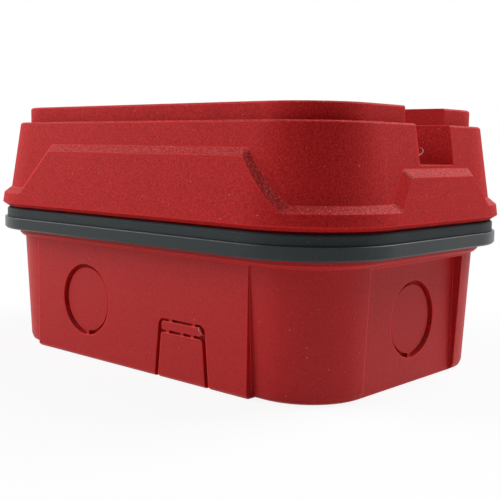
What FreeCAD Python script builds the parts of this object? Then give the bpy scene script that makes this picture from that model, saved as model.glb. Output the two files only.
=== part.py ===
"""Small wall-mounted fence energizer: back box, two sealing rings, front housing and what they hold.

Millimetres. The back face lies on z = 0, +Z points out of the wall towards the front face, X runs
along the long side. The origin is the centre of the back face.
"""
import FreeCAD, Part
import math
import os

Vector = FreeCAD.Vector
UP = Vector(0, 0, 1)

# Master outline: the collar around the mouth of the back box, seen from the front
COLLAR_LENGTH = 146.0
COLLAR_WIDTH = 95.0
COLLAR_RADIUS = 23.0

# The transformer core's height also sets the depth of the front housing that it stands in
CORE_HEIGHT = 12.0
CORE_HEADROOM = 11.6

# Heights above the back face
COLLAR_Z = 36.9
BOX_Z = COLLAR_Z + 2.6
RING_SPLIT_Z = BOX_Z + 3.9
RING_TOP_Z = RING_SPLIT_Z + 3.1
HOUSING_BOTTOM_Z = RING_TOP_Z + 0.6
FLANGE_Z = HOUSING_BOTTOM_Z + 1.2
BAND_Z = FLANGE_Z + 3.3
RIM_Z = BAND_Z + CORE_HEIGHT + CORE_HEADROOM
FRONT_Z = RIM_Z + 5.0

# Back box
BOX_WALL = 3.0
BOX_FLOOR = 2.8
WALL_SETBACK = 1.8
WALL_DRAFT = 1.8
COLLAR_EDGE = 0.8
FLOOR_ROUND = 2.0
LONG_PANEL_HALF = COLLAR_LENGTH / 2 - 25.4
LONG_PANEL_SHIFT = -1.1
LONG_PANEL_Y = COLLAR_WIDTH / 2 - 1.4
END_PANEL_HALF = COLLAR_WIDTH / 2 - 23.1
END_PANEL_X = COLLAR_LENGTH / 2 - 4.8
TONGUE_THICKNESS = 1.4
TONGUE_HEIGHT = 3.0

# Round knock-outs for 20 mm conduit
KNOCKOUT_RADIUS = 11.4
KNOCKOUT_GROOVE = 1.3
KNOCKOUT_SINK = 0.9
KNOCKOUT_DEPTH = 2.2
KNOCKOUT_Z = 18.9
LONG_KNOCKOUT_X = -23.2
END_KNOCKOUT_Y = 1.8
FLOOR_KNOCKOUT_RADIUS = 11.4
BRIDGE_WIDTH = 1.1

# Tapered cable knock-out at the bottom edge of each long side
GATE_X = 20.9
GATE_FOOT = 22.6
GATE_HEAD = 19.0
GATE_HEIGHT = 18.0
GATE_GROOVE = 1.5
GATE_STRIP_Z = 14.2
GATE_SLOT = 0.9
GATE_ROUND = 2.4
GATE_DEPTH = 1.5

# Rings between the two shells
LOWER_RING_OVERHANG = 5.1
UPPER_RING_OVERHANG = 4.2
RING_ROUND = 0.5
RING_INSET = 3.2

# Front housing
UNDERCUT_OFFSET = 3.9
SIDE_TAPER = 0.155
RIM_SETBACK = 0.7
STEP_SETBACK = 4.1
EDGE_BREAK = 0.45
HOUSING_WALL = 2.8
PANEL_RAISE = 2.2
PANEL_CORNER = 2.4
PANEL_FOOT = 2.6
PANEL_DEPTH = 4.5
PANEL_REACH = 6.0
BAND_REACH = 9.0
BAND_CHAMFER = 0.9
SEAL_LAND = 2.2

# Raised panels: left and right ends of the top edge, run-out of each slant, height of the top edge
LONG_PANEL_TOP = (36.5 - COLLAR_LENGTH / 2, COLLAR_LENGTH / 2 - 25.3)
LONG_PANEL_RUN = (13.2, 11.4)
LONG_PANEL_SPREAD = (0.6, 0.0)
LONG_PANEL_Z = BAND_Z + 14.2
SHORT_PANEL_TOP = (33.1 - COLLAR_WIDTH / 2, COLLAR_WIDTH / 2 - 28.5)
SHORT_PANEL_RUN = (6.4, 7.6)
SHORT_PANEL_SPREAD = (0.6, 0.4)
SHORT_PANEL_Z = BAND_Z + 9.0

# Lead channel through the +X end and the terminal bay it opens into
CHANNEL_Y = 2.5
CHANNEL_WIDTH = 18.2
CHANNEL_DRAFT = 0.4
CHANNEL_FLOOR_Z = RIM_Z - 11.4
CHANNEL_FLOOR = 2.6
BAY_LENGTH = 24.0
BAY_X1 = COLLAR_LENGTH / 2 - 23.0
BAY_X0 = BAY_X1 - BAY_LENGTH
BAY_WIDTH = 50.0
BAY_ROUND = 3.0
LEDGE_WIDTH = 2.6
PEG_RADIUS = 1.9
PEG_HEIGHT = 4.4
PEG_INTO_WALL = 1.1
PEG_X = COLLAR_LENGTH / 2 - 6.5

# Cover screws, their columns in the housing and pillars in the back box
SCREW_X = COLLAR_LENGTH / 2 - 16.5
SCREW_Y = COLLAR_WIDTH / 2 - 16.0
SCREW_RADIUS = 2.0
SCREW_HEAD_RADIUS = 3.8
SCREW_HEAD_HEIGHT = 3.0
SCREW_SEAT_Z = FRONT_Z - 8.2
COUNTERBORE_RADIUS = 4.3
COLUMN_RADIUS = 5.8
COLUMN_FOOT_Z = BOX_Z + 2.5
SCREW_TIP_Z = COLUMN_FOOT_Z - 7.5
PILLAR_RADIUS = 4.8
PILLAR_GAP = 0.3
WEB_THICKNESS = 1.8
WEB_REACH = 30.0
INSERT_RADIUS = 2.9
INSERT_LENGTH = 8.0
SEAL_THICKNESS = 1.0

# Wall fixing holes in the floor of the back box
FIXING_SPACING_X = COLLAR_LENGTH - 46.0
FIXING_SPACING_Y = COLLAR_WIDTH - 55.0
FIXING_RADIUS = 3.0
FIXING_BOSS_RADIUS = 5.6
FIXING_BOSS_HEIGHT = 1.4

# Chassis plate under the electronics
CHASSIS_Z = HOUSING_BOTTOM_Z + 2.4
CHASSIS_THICKNESS = 2.0
CHASSIS_INSET = 1.6
CHASSIS_BOSS_X = 30.0
CHASSIS_BOSS_Y = COLLAR_WIDTH / 2 - 6.5
CHASSIS_BOSS_RADIUS = 3.2
CHASSIS_BOSS_TOP_Z = CHASSIS_Z + 12.5
CHASSIS_RIB_HALF = 1.2
SMALL_SCREW_RADIUS = 1.45
SMALL_HEAD_RADIUS = 2.75
SMALL_HEAD_HEIGHT = 1.9
SMALL_SCREW_LENGTH = 7.5
HEAD_TAPER = 0.86

# Circuit board and its parts
BOARD_LENGTH = COLLAR_LENGTH - 48.0
BOARD_WIDTH = COLLAR_WIDTH - 29.0
BOARD_THICKNESS = 1.6
STANDOFF_HEIGHT = 3.0
STANDOFF_RADIUS = 3.0
STANDOFF_X = BOARD_LENGTH / 2 - 6.0
STANDOFF_Y = BOARD_WIDTH / 2 - 6.0

CORE_CENTRE = (3.0, 15.0)
CORE_LENGTH = 36.0
CORE_DEPTH = 30.0
CORE_LEG = 10.0
CORE_YOKE = 5.0
BOBBIN_HEIGHT = CORE_HEIGHT + 7.0
BOBBIN_WALL = 1.2
BOBBIN_WIDTH = CORE_LENGTH - 2 * CORE_YOKE - 0.8
WINDING_MARGIN = 0.9

CAPACITOR_CENTRE = (1.0, -20.0)
CAPACITOR_SIZE = (37.0, 16.0, 18.0)
FILTER_CENTRE = (-42.0, 17.0)
FILTER_RADIUS = 4.0
FILTER_HEIGHT = 12.0
SUPPRESSOR_CENTRE = (-42.0, -17.0)
SUPPRESSOR_RADIUS = 4.5
SUPPRESSOR_THICKNESS = 3.6
SINK_CENTRE = (-27.0, -22.0)
SINK_SIZE = (2.0, 20.0, 15.0)
SINK_FIN_COUNT = 5
SINK_FIN_LENGTH = 4.0
SINK_FIN_THICKNESS = 1.1
THYRISTOR_SIZE = (4.4, 10.0, 9.2)
RESISTOR_CENTRE = (38.0, 2.5)
RESISTOR_RADIUS = 1.8
RESISTOR_LENGTH = 11.0

# Mains terminal block under the chassis plate
BLOCK_CENTRE = (12.0, -12.0)
BLOCK_SIZE = (30.0, 17.0, 13.0)
BLOCK_WAYS = 3
BLOCK_ENTRY_RADIUS = 2.1
BLOCK_SCREW_RADIUS = 1.9

# Rocker switch in its pocket
SWITCH_X = 29.0 - COLLAR_LENGTH / 2
SWITCH_BODY = (19.0, 12.8, 14.0)
SWITCH_BEZEL = (21.0, 15.0, 1.5)
POCKET_MARGIN = 3.0
POCKET_DEPTH = 2.0
POCKET_ROUND = 2.2
POCKET_WALL = 1.5
ROCKER_SIZE = (15.4, 9.6)
ROCKER_GAP = 0.3
ROCKER_TILT = 9.0
ROCKER_PIVOT_Z = FRONT_Z - 5.0
ROCKER_CROWN = 4.6
ROCKER_PIN_RADIUS = 1.2
ROCKER_PIN_LENGTH = 0.9

# Indicator
LENS_X = SWITCH_X + 24.0
LENS_RADIUS = 4.0
LENS_FLANGE = 5.4
LENS_RISE = 1.5
LENS_RIM = 0.5
LENS_LENGTH = 3.4
LAMP_RADIUS = 2.5
LAMP_LENGTH = 7.0

# Output terminals
TERMINAL_X = (BAY_X0 + BAY_X1) / 2 - 0.5
TERMINAL_HALF_SPACING = 13.0
STUD_RADIUS = 2.5
STUD_TOP_Z = FRONT_Z - 3.9
STUD_HEAD_ACROSS = 8.0
STUD_HEAD_HEIGHT = 3.4
FIXED_WASHER_RADIUS = 5.2
FIXED_WASHER_THICKNESS = 1.0
NUT_ACROSS = 8.0
NUT_HEIGHT = 3.6
CLAMP_WASHER_RADIUS = 5.6
CLAMP_WASHER_THICKNESS = 1.2
KNOB_RADIUS = 7.0
KNOB_HEIGHT = 8.0
KNOB_FLUTES = 10
KNOB_FLUTE_RADIUS = 1.5
THREAD_PLAY = 0.08
REST_GAP = 0.25
HOLE_PLAY = 0.15


def outline(offset, z):
    """Collar outline grown by an offset, as a wire at height z."""
    a = COLLAR_LENGTH / 2 + offset
    b = COLLAR_WIDTH / 2 + offset
    r = COLLAR_RADIUS + offset
    return rounded_wire([Vector(a, -b, z), Vector(a, b, z), Vector(-a, b, z), Vector(-a, -b, z)], r)


def rounded_wire(points, radius):
    """Closed wire through the points, each corner replaced by a tangent arc."""
    edges = []
    starts = []
    ends = []
    count = len(points)
    for i in range(count):
        corner = points[i]
        back = (points[i - 1] - corner).normalize()
        ahead = (points[(i + 1) % count] - corner).normalize()
        half = math.acos(max(-1.0, min(1.0, back.dot(ahead)))) / 2
        reach = radius / math.tan(half)
        bisector = (back + ahead).normalize()
        centre = corner + bisector * (radius / math.sin(half))
        starts.append(corner + back * reach)
        ends.append(corner + ahead * reach)
        edges.append(Part.Arc(starts[i], centre - bisector * radius, ends[i]).toShape())
    wire = []
    for i in range(count):
        wire.append(edges[i])
        following = starts[(i + 1) % count]
        if (following - ends[i]).Length > 1e-6:
            wire.append(Part.makeLine(ends[i], following))
    return Part.Wire(wire)


def wall_band(low, high):
    """Faces of one level of a stack: four conical corners and the four flat walls between them."""
    centres = [
        (COLLAR_LENGTH / 2 - COLLAR_RADIUS, COLLAR_RADIUS - COLLAR_WIDTH / 2),
        (COLLAR_LENGTH / 2 - COLLAR_RADIUS, COLLAR_WIDTH / 2 - COLLAR_RADIUS),
        (COLLAR_RADIUS - COLLAR_LENGTH / 2, COLLAR_WIDTH / 2 - COLLAR_RADIUS),
        (COLLAR_RADIUS - COLLAR_LENGTH / 2, COLLAR_RADIUS - COLLAR_WIDTH / 2),
    ]
    faces = []
    for i in range(4):
        begin = Vector(0, -1, 0) if i == 0 else out
        out = UP.cross(begin)
        here = Vector(centres[i][0], centres[i][1], 0)
        there = Vector(centres[(i + 1) % 4][0], centres[(i + 1) % 4][1], 0)
        reach = [Vector(0, 0, z) + direction * (COLLAR_RADIUS + offset)
                 for direction in (begin, out) for z, offset in (low, high)]
        edge = Part.makeLine(here + reach[0], here + reach[1])
        faces += edge.revolve(here, UP, 90).Faces
        loop = [here + reach[2], there + reach[2], there + reach[3], here + reach[3], here + reach[2]]
        faces.append(Part.Face(Part.makePolygon(loop)))
    return faces


def stack(levels):
    """Solid through collar outlines given as (z, offset), with straight walls between levels."""
    faces = [Part.Face(outline(offset, z)) for z, offset in (levels[0], levels[-1])]
    for low, high in zip(levels, levels[1:]):
        faces += wall_band(low, high)
    shell = Part.makeShell(faces)
    shell.sewShape()
    solid = Part.makeSolid(shell)
    if solid.Volume < 0:
        solid.reverse()
    return solid


def slab(offset, z0, z1):
    """Upright prism of the collar outline grown by an offset."""
    return Part.Face(outline(offset, z0)).extrude(Vector(0, 0, z1 - z0))


def cylinder(radius, x, y, z0, z1):
    """Upright cylinder between two heights."""
    return Part.makeCylinder(radius, z1 - z0, Vector(x, y, z0))


def block(x0, x1, y0, y1, z0, z1):
    """Box between six planes."""
    return Part.makeBox(x1 - x0, y1 - y0, z1 - z0, Vector(x0, y0, z0))


def rounded_block(x0, x1, y0, y1, z0, z1, radius):
    """Box with its four upright edges rounded."""
    points = [Vector(x1, y0, z0), Vector(x1, y1, z0), Vector(x0, y1, z0), Vector(x0, y0, z0)]
    return Part.Face(rounded_wire(points, radius)).extrude(Vector(0, 0, z1 - z0))


def hexagon(across, x, y, z0, z1):
    """Hexagonal prism, given by its width across the flats."""
    reach = across / 2 / math.cos(math.radians(30))
    points = []
    for i in range(7):
        angle = math.radians(60 * i)
        points.append(Vector(x + reach * math.cos(angle), y + reach * math.sin(angle), z0))
    return Part.Face(Part.makePolygon(points)).extrude(Vector(0, 0, z1 - z0))


def corners(half_x, half_y):
    """The four sign combinations of a rectangle's corners."""
    return [(sx * half_x, sy * half_y) for sx in (-1, 1) for sy in (-1, 1)]


def half_turn(shape):
    """Copy of a shape turned 180 degrees about the upright centre line."""
    turned = shape.copy()
    turned.rotate(Vector(0, 0, 0), UP, 180)
    return turned


def screw(radius, head_radius, head_height, x, y, seat_z, tip_z):
    """Pan-head screw: its head lies beyond the seat, its shank runs to the tip."""
    side = 1 if seat_z > tip_z else -1
    profile = [
        Vector(0, 0, side * head_height),
        Vector(head_radius * HEAD_TAPER, 0, side * head_height),
        Vector(head_radius, 0, 0),
        Vector(radius, 0, 0),
        Vector(radius, 0, tip_z - seat_z),
        Vector(0, 0, tip_z - seat_z),
        Vector(0, 0, side * head_height),
    ]
    solid = Part.Face(Part.makePolygon(profile)).revolve(Vector(0, 0, 0), UP, 360)
    solid.translate(Vector(x, y, seat_z))
    return solid


def side_offset(z):
    """Offset of the housing's plain side wall from the collar outline at height z."""
    return SIDE_TAPER * (RIM_Z - z) - RIM_SETBACK


def long_point(x, z, lift):
    """Point on the -Y side wall, lifted outwards."""
    return Vector(x, -(COLLAR_WIDTH / 2 + side_offset(z) + lift), z)


def short_point(y, z, lift):
    """Point on the +X side wall, lifted outwards."""
    return Vector(COLLAR_LENGTH / 2 + side_offset(z) + lift, y, z)


def panel_tool(place, top, run, spread, top_z):
    """Frustum whose flanks chamfer a raised trapezoid panel; it narrows as it leaves the wall."""
    foot_z = HOUSING_BOTTOM_Z - 3.0
    wires = []
    for lift in (-PANEL_DEPTH, PANEL_REACH):
        grow = PANEL_RAISE - lift
        fall = (top_z + grow - foot_z) / (top_z - BAND_Z)
        left = top[0] - grow * spread[0]
        right = top[1] + grow * spread[1]
        points = [
            place(left - run[0] * fall, foot_z, lift),
            place(right + run[1] * fall, foot_z, lift),
            place(right, top_z + grow, lift),
            place(left, top_z + grow, lift),
        ]
        wires.append(Part.makePolygon(points + points[:1]))
    tool = Part.makeLoft(wires, True, True)
    ridges = [e for e in tool.Edges if e.BoundBox.ZMax > top_z and e.BoundBox.ZLength > PANEL_REACH]
    ridges = [e for e in ridges if e.BoundBox.ZMin > BAND_Z]
    return tool.makeFillet(PANEL_CORNER, ridges)


def lies_on(edge, shapes):
    """Whether an edge's middle lies on one of the shapes."""
    middle = Part.Vertex(edge.valueAt((edge.FirstParameter + edge.LastParameter) / 2))
    return any(middle.distToShape(shape)[0] < 1e-4 for shape in shapes)


def raised_zone():
    """Zone in which the skin stands proud: the band above the flange and four trapezoid panels."""
    chamfer_z = BAND_Z + PANEL_RAISE * BAND_CHAMFER
    crest = side_offset(BAND_Z) + PANEL_RAISE
    slope = (crest - side_offset(chamfer_z)) / (chamfer_z - BAND_Z)
    band = stack([
        (BAND_Z - BAND_REACH, crest + slope * BAND_REACH),
        (chamfer_z + BAND_REACH, side_offset(chamfer_z) - slope * BAND_REACH),
    ])
    long_side = panel_tool(long_point, LONG_PANEL_TOP, LONG_PANEL_RUN, LONG_PANEL_SPREAD, LONG_PANEL_Z)
    short_side = panel_tool(short_point, SHORT_PANEL_TOP, SHORT_PANEL_RUN, SHORT_PANEL_SPREAD, SHORT_PANEL_Z)
    panels = [long_side, short_side, half_turn(long_side), half_turn(short_side)]
    zone = band.multiFuse(panels)
    walls = [f for f in band.Faces if f.BoundBox.ZLength > 0.1]
    flanks = []
    for panel, along in zip(panels, (Vector(1, 0, 0), Vector(0, 1, 0)) * 2):
        flanks += [f for f in panel.Faces if abs(f.normalAt(0, 0).dot(along)) > 0.3]
    feet = [e for e in zone.Edges if lies_on(e, walls) and lies_on(e, flanks)]
    return zone.makeFillet(PANEL_FOOT, feet)


def housing_body():
    """Outer form of the front housing: plain wall, raised skin over part of it, and stepped top."""
    plain = stack([
        (HOUSING_BOTTOM_Z, side_offset(HOUSING_BOTTOM_Z)),
        (RIM_Z - EDGE_BREAK, side_offset(RIM_Z - EDGE_BREAK)),
        (RIM_Z, -RIM_SETBACK - EDGE_BREAK),
    ])
    skin = stack([
        (HOUSING_BOTTOM_Z, UNDERCUT_OFFSET),
        (FLANGE_Z, side_offset(FLANGE_Z) + PANEL_RAISE),
        (RIM_Z - 1, side_offset(RIM_Z - 1) + PANEL_RAISE),
    ])
    step = stack([
        (RIM_Z - 1, -STEP_SETBACK),
        (FRONT_Z - EDGE_BREAK, -STEP_SETBACK),
        (FRONT_Z, -STEP_SETBACK - EDGE_BREAK),
    ])
    return plain.multiFuse([skin.common(raised_zone()), step])


def housing_cavity():
    """Space inside the front housing."""
    shelf_z = RIM_Z - HOUSING_WALL
    lower = stack([
        (HOUSING_BOTTOM_Z - 2, side_offset(HOUSING_BOTTOM_Z - 2) - HOUSING_WALL),
        (shelf_z, side_offset(shelf_z) - HOUSING_WALL),
    ])
    return lower.fuse(slab(-STEP_SETBACK - HOUSING_WALL, shelf_z - 1, FRONT_Z - HOUSING_WALL))


def lead_space(margin, top_z):
    """The lead channel and the terminal bay as one solid, grown by a wall margin."""
    floor_z = CHANNEL_FLOOR_Z - (CHANNEL_FLOOR if margin else 0)
    bay_y = BAY_WIDTH / 2 + margin
    bay = rounded_block(
        BAY_X0 - margin, BAY_X1 + margin, CHANNEL_Y - bay_y, CHANNEL_Y + bay_y,
        floor_z, top_z, BAY_ROUND + margin,
    )
    half_foot = CHANNEL_WIDTH / 2 + margin
    half_top = half_foot + CHANNEL_DRAFT
    end_x = COLLAR_LENGTH / 2 + (0 if margin else 20)
    profile = Part.makePolygon([
        Vector(BAY_X1 - 6, CHANNEL_Y - half_foot, floor_z),
        Vector(BAY_X1 - 6, CHANNEL_Y + half_foot, floor_z),
        Vector(BAY_X1 - 6, CHANNEL_Y + half_top, top_z),
        Vector(BAY_X1 - 6, CHANNEL_Y - half_top, top_z),
        Vector(BAY_X1 - 6, CHANNEL_Y - half_foot, floor_z),
    ])
    channel = Part.Face(profile).extrude(Vector(end_x - BAY_X1 + 6, 0, 0))
    return bay.fuse(channel)


def channel_ledge():
    """Wider cut above the rim along the far wall of the channel."""
    y0 = CHANNEL_Y - CHANNEL_WIDTH / 2 - CHANNEL_DRAFT
    y1 = CHANNEL_Y + CHANNEL_WIDTH / 2 + LEDGE_WIDTH
    return block(BAY_X1 - 2, COLLAR_LENGTH / 2 + 20, y0, y1, RIM_Z, FRONT_Z + 5)


def lead_peg():
    """Rounded peg beside the near channel wall that keeps the leads down."""
    y = CHANNEL_Y - CHANNEL_WIDTH / 2 + PEG_RADIUS - PEG_INTO_WALL
    z = CHANNEL_FLOOR_Z + PEG_HEIGHT - PEG_RADIUS
    post = cylinder(PEG_RADIUS, PEG_X, y, CHANNEL_FLOOR_Z - 1, z)
    return post.fuse(Part.makeSphere(PEG_RADIUS, Vector(PEG_X, y, z)))


def column_web(x, y, z0, z1, radius, reach):
    """Radial web from a screw column or pillar towards its corner."""
    web = block(radius - 0.6, reach, -WEB_THICKNESS / 2, WEB_THICKNESS / 2, z0, z1)
    web.rotate(Vector(0, 0, 0), UP, 45 * (1 if x * y > 0 else -1) + (180 if x < 0 else 0))
    web.translate(Vector(x, y, 0))
    return web


def switch_pocket():
    """Shallow pocket around the switch."""
    half_x = SWITCH_BEZEL[0] / 2 + POCKET_MARGIN
    half_y = SWITCH_BEZEL[1] / 2 + POCKET_MARGIN
    return rounded_block(
        SWITCH_X - half_x, SWITCH_X + half_x, -half_y, half_y,
        FRONT_Z - POCKET_DEPTH, FRONT_Z + 1, POCKET_ROUND,
    )


def front_housing():
    """Upper shell with raised panels, flange, stepped rim, lead channel and inner bosses."""
    shell = housing_body()
    cavity = housing_cavity()
    ribs = [lead_space(CHANNEL_FLOOR, FRONT_Z - 1)]
    half_x = SWITCH_BEZEL[0] / 2 + POCKET_MARGIN + POCKET_WALL
    half_y = SWITCH_BEZEL[1] / 2 + POCKET_MARGIN + POCKET_WALL
    pocket_floor = rounded_block(
        SWITCH_X - half_x, SWITCH_X + half_x, -half_y, half_y,
        FRONT_Z - POCKET_DEPTH - HOUSING_WALL, FRONT_Z - 1, POCKET_ROUND,
    )
    ribs.append(pocket_floor)
    for x, y in corners(SCREW_X, SCREW_Y):
        ribs.append(cylinder(COLUMN_RADIUS, x, y, COLUMN_FOOT_Z, FRONT_Z - 1))
        ribs.append(column_web(x, y, BAND_Z + 4, FRONT_Z - 2, COLUMN_RADIUS, WEB_REACH))
    for x, y in corners(CHASSIS_BOSS_X, CHASSIS_BOSS_Y):
        foot = CHASSIS_Z + CHASSIS_THICKNESS
        ribs.append(cylinder(CHASSIS_BOSS_RADIUS, x, y, foot, CHASSIS_BOSS_TOP_Z))
        y_out = math.copysign(COLLAR_WIDTH / 2 + 2, y)
        ribs.append(block(x - CHASSIS_RIB_HALF, x + CHASSIS_RIB_HALF, min(y, y_out), max(y, y_out),
                          foot, CHASSIS_BOSS_TOP_Z))
    inner = ribs[0].multiFuse(ribs[1:]).common(stack([
        (COLUMN_FOOT_Z, side_offset(HOUSING_BOTTOM_Z) - 1),
        (HOUSING_BOTTOM_Z, side_offset(HOUSING_BOTTOM_Z) - 1),
        (RIM_Z - 1, -RIM_SETBACK - 1),
    ]).fuse(slab(-STEP_SETBACK - 1, RIM_Z - 2, FRONT_Z - 0.5)))
    land = slab(SEAL_LAND, RING_TOP_Z, HOUSING_BOTTOM_Z + 1)
    land = land.cut(slab(side_offset(HOUSING_BOTTOM_Z) - HOUSING_WALL, RING_TOP_Z - 1, HOUSING_BOTTOM_Z + 2))
    shell = shell.cut(cavity).fuse(land).fuse(inner)
    holes = [lead_space(0, FRONT_Z + 5), channel_ledge(), switch_pocket()]
    for x, y in corners(SCREW_X, SCREW_Y):
        holes.append(cylinder(COUNTERBORE_RADIUS, x, y, SCREW_SEAT_Z, FRONT_Z + 1))
        holes.append(cylinder(SCREW_RADIUS + HOLE_PLAY, x, y, COLUMN_FOOT_Z - 1, FRONT_Z))
    for x, y in corners(CHASSIS_BOSS_X, CHASSIS_BOSS_Y):
        foot = CHASSIS_Z + CHASSIS_THICKNESS
        holes.append(cylinder(SMALL_SCREW_RADIUS + THREAD_PLAY, x, y, foot - 1, foot + SMALL_SCREW_LENGTH))
    for y in terminal_rows():
        holes.append(cylinder(STUD_RADIUS + HOLE_PLAY, TERMINAL_X, y, CHANNEL_FLOOR_Z - 5, CHANNEL_FLOOR_Z + 1))
    half_x = SWITCH_BODY[0] / 2 + HOLE_PLAY
    half_y = SWITCH_BODY[1] / 2 + HOLE_PLAY
    holes.append(block(SWITCH_X - half_x, SWITCH_X + half_x, -half_y, half_y, FRONT_Z - 9, FRONT_Z))
    holes.append(cylinder(LENS_RADIUS + HOLE_PLAY, LENS_X, 0, FRONT_Z - 9, FRONT_Z + 1))
    shell = shell.cut(holes[0].multiFuse(holes[1:]))
    return shell.fuse(lead_peg().common(lead_space(CHANNEL_FLOOR, RIM_Z))).removeSplitter()


def knockout_groove(radius):
    """Sunk disc with a deeper groove around it, facing -Y, its wall face at y = 0; one bridge left."""
    deep = Part.makeCylinder(radius, KNOCKOUT_DEPTH + 5, Vector(0, -5, 0), Vector(0, 1, 0))
    disc = Part.makeCylinder(radius - KNOCKOUT_GROOVE, 20, Vector(0, KNOCKOUT_SINK, 0), Vector(0, 1, 0))
    half = BRIDGE_WIDTH / 2
    bridge = block(-half, half, KNOCKOUT_SINK, 20, -radius - 1, -radius + KNOCKOUT_GROOVE + 1)
    return deep.cut(disc).cut(bridge)


def gate_outline(inset, z0, z1, y):
    """Tapered outline of the cable knock-out, drawn in from all sides but the foot."""
    slope = (GATE_FOOT - GATE_HEAD) / 2 / GATE_HEIGHT
    half0 = GATE_FOOT / 2 - slope * z0 - inset
    half1 = GATE_FOOT / 2 - slope * z1 - inset
    return [Vector(half0, y, z0), Vector(half1, y, z1), Vector(-half1, y, z1), Vector(-half0, y, z0)]


def gate_groove():
    """Grooves of the cable knock-out facing -Y, wall face at y = 0, with the bridges left in."""
    depth = GATE_DEPTH + 5
    foot = -10.0
    outer = Part.Face(rounded_wire(gate_outline(0, foot, GATE_HEIGHT, -5), GATE_ROUND))
    tab = Part.Face(rounded_wire(
        gate_outline(GATE_GROOVE, foot, GATE_STRIP_Z - GATE_SLOT / 2, -5), GATE_ROUND * 0.4,
    ))
    strip = Part.Face(rounded_wire(
        gate_outline(GATE_GROOVE, GATE_STRIP_Z + GATE_SLOT / 2, GATE_HEIGHT - GATE_SLOT, -5), GATE_ROUND * 0.4,
    ))
    cut = outer.extrude(Vector(0, depth, 0))
    cut = cut.cut(tab.extrude(Vector(0, depth, 0)))
    cut = cut.cut(strip.extrude(Vector(0, depth, 0)))
    bridges = []
    for x in (-GATE_HEAD / 4, GATE_HEAD / 4):
        bridges.append(block(x - 0.7, x + 0.7, 0.35, 20, GATE_HEIGHT - GATE_SLOT - 0.5, GATE_HEIGHT + 0.5))
    for x in (-GATE_HEAD / 3.2, 0, GATE_HEAD / 4.5):
        bridges.append(block(x - 0.6, x + 0.6, 0.35, 20, GATE_STRIP_Z - GATE_SLOT, GATE_STRIP_Z + GATE_SLOT))
    return cut.cut(bridges[0].multiFuse(bridges[1:]))


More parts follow.
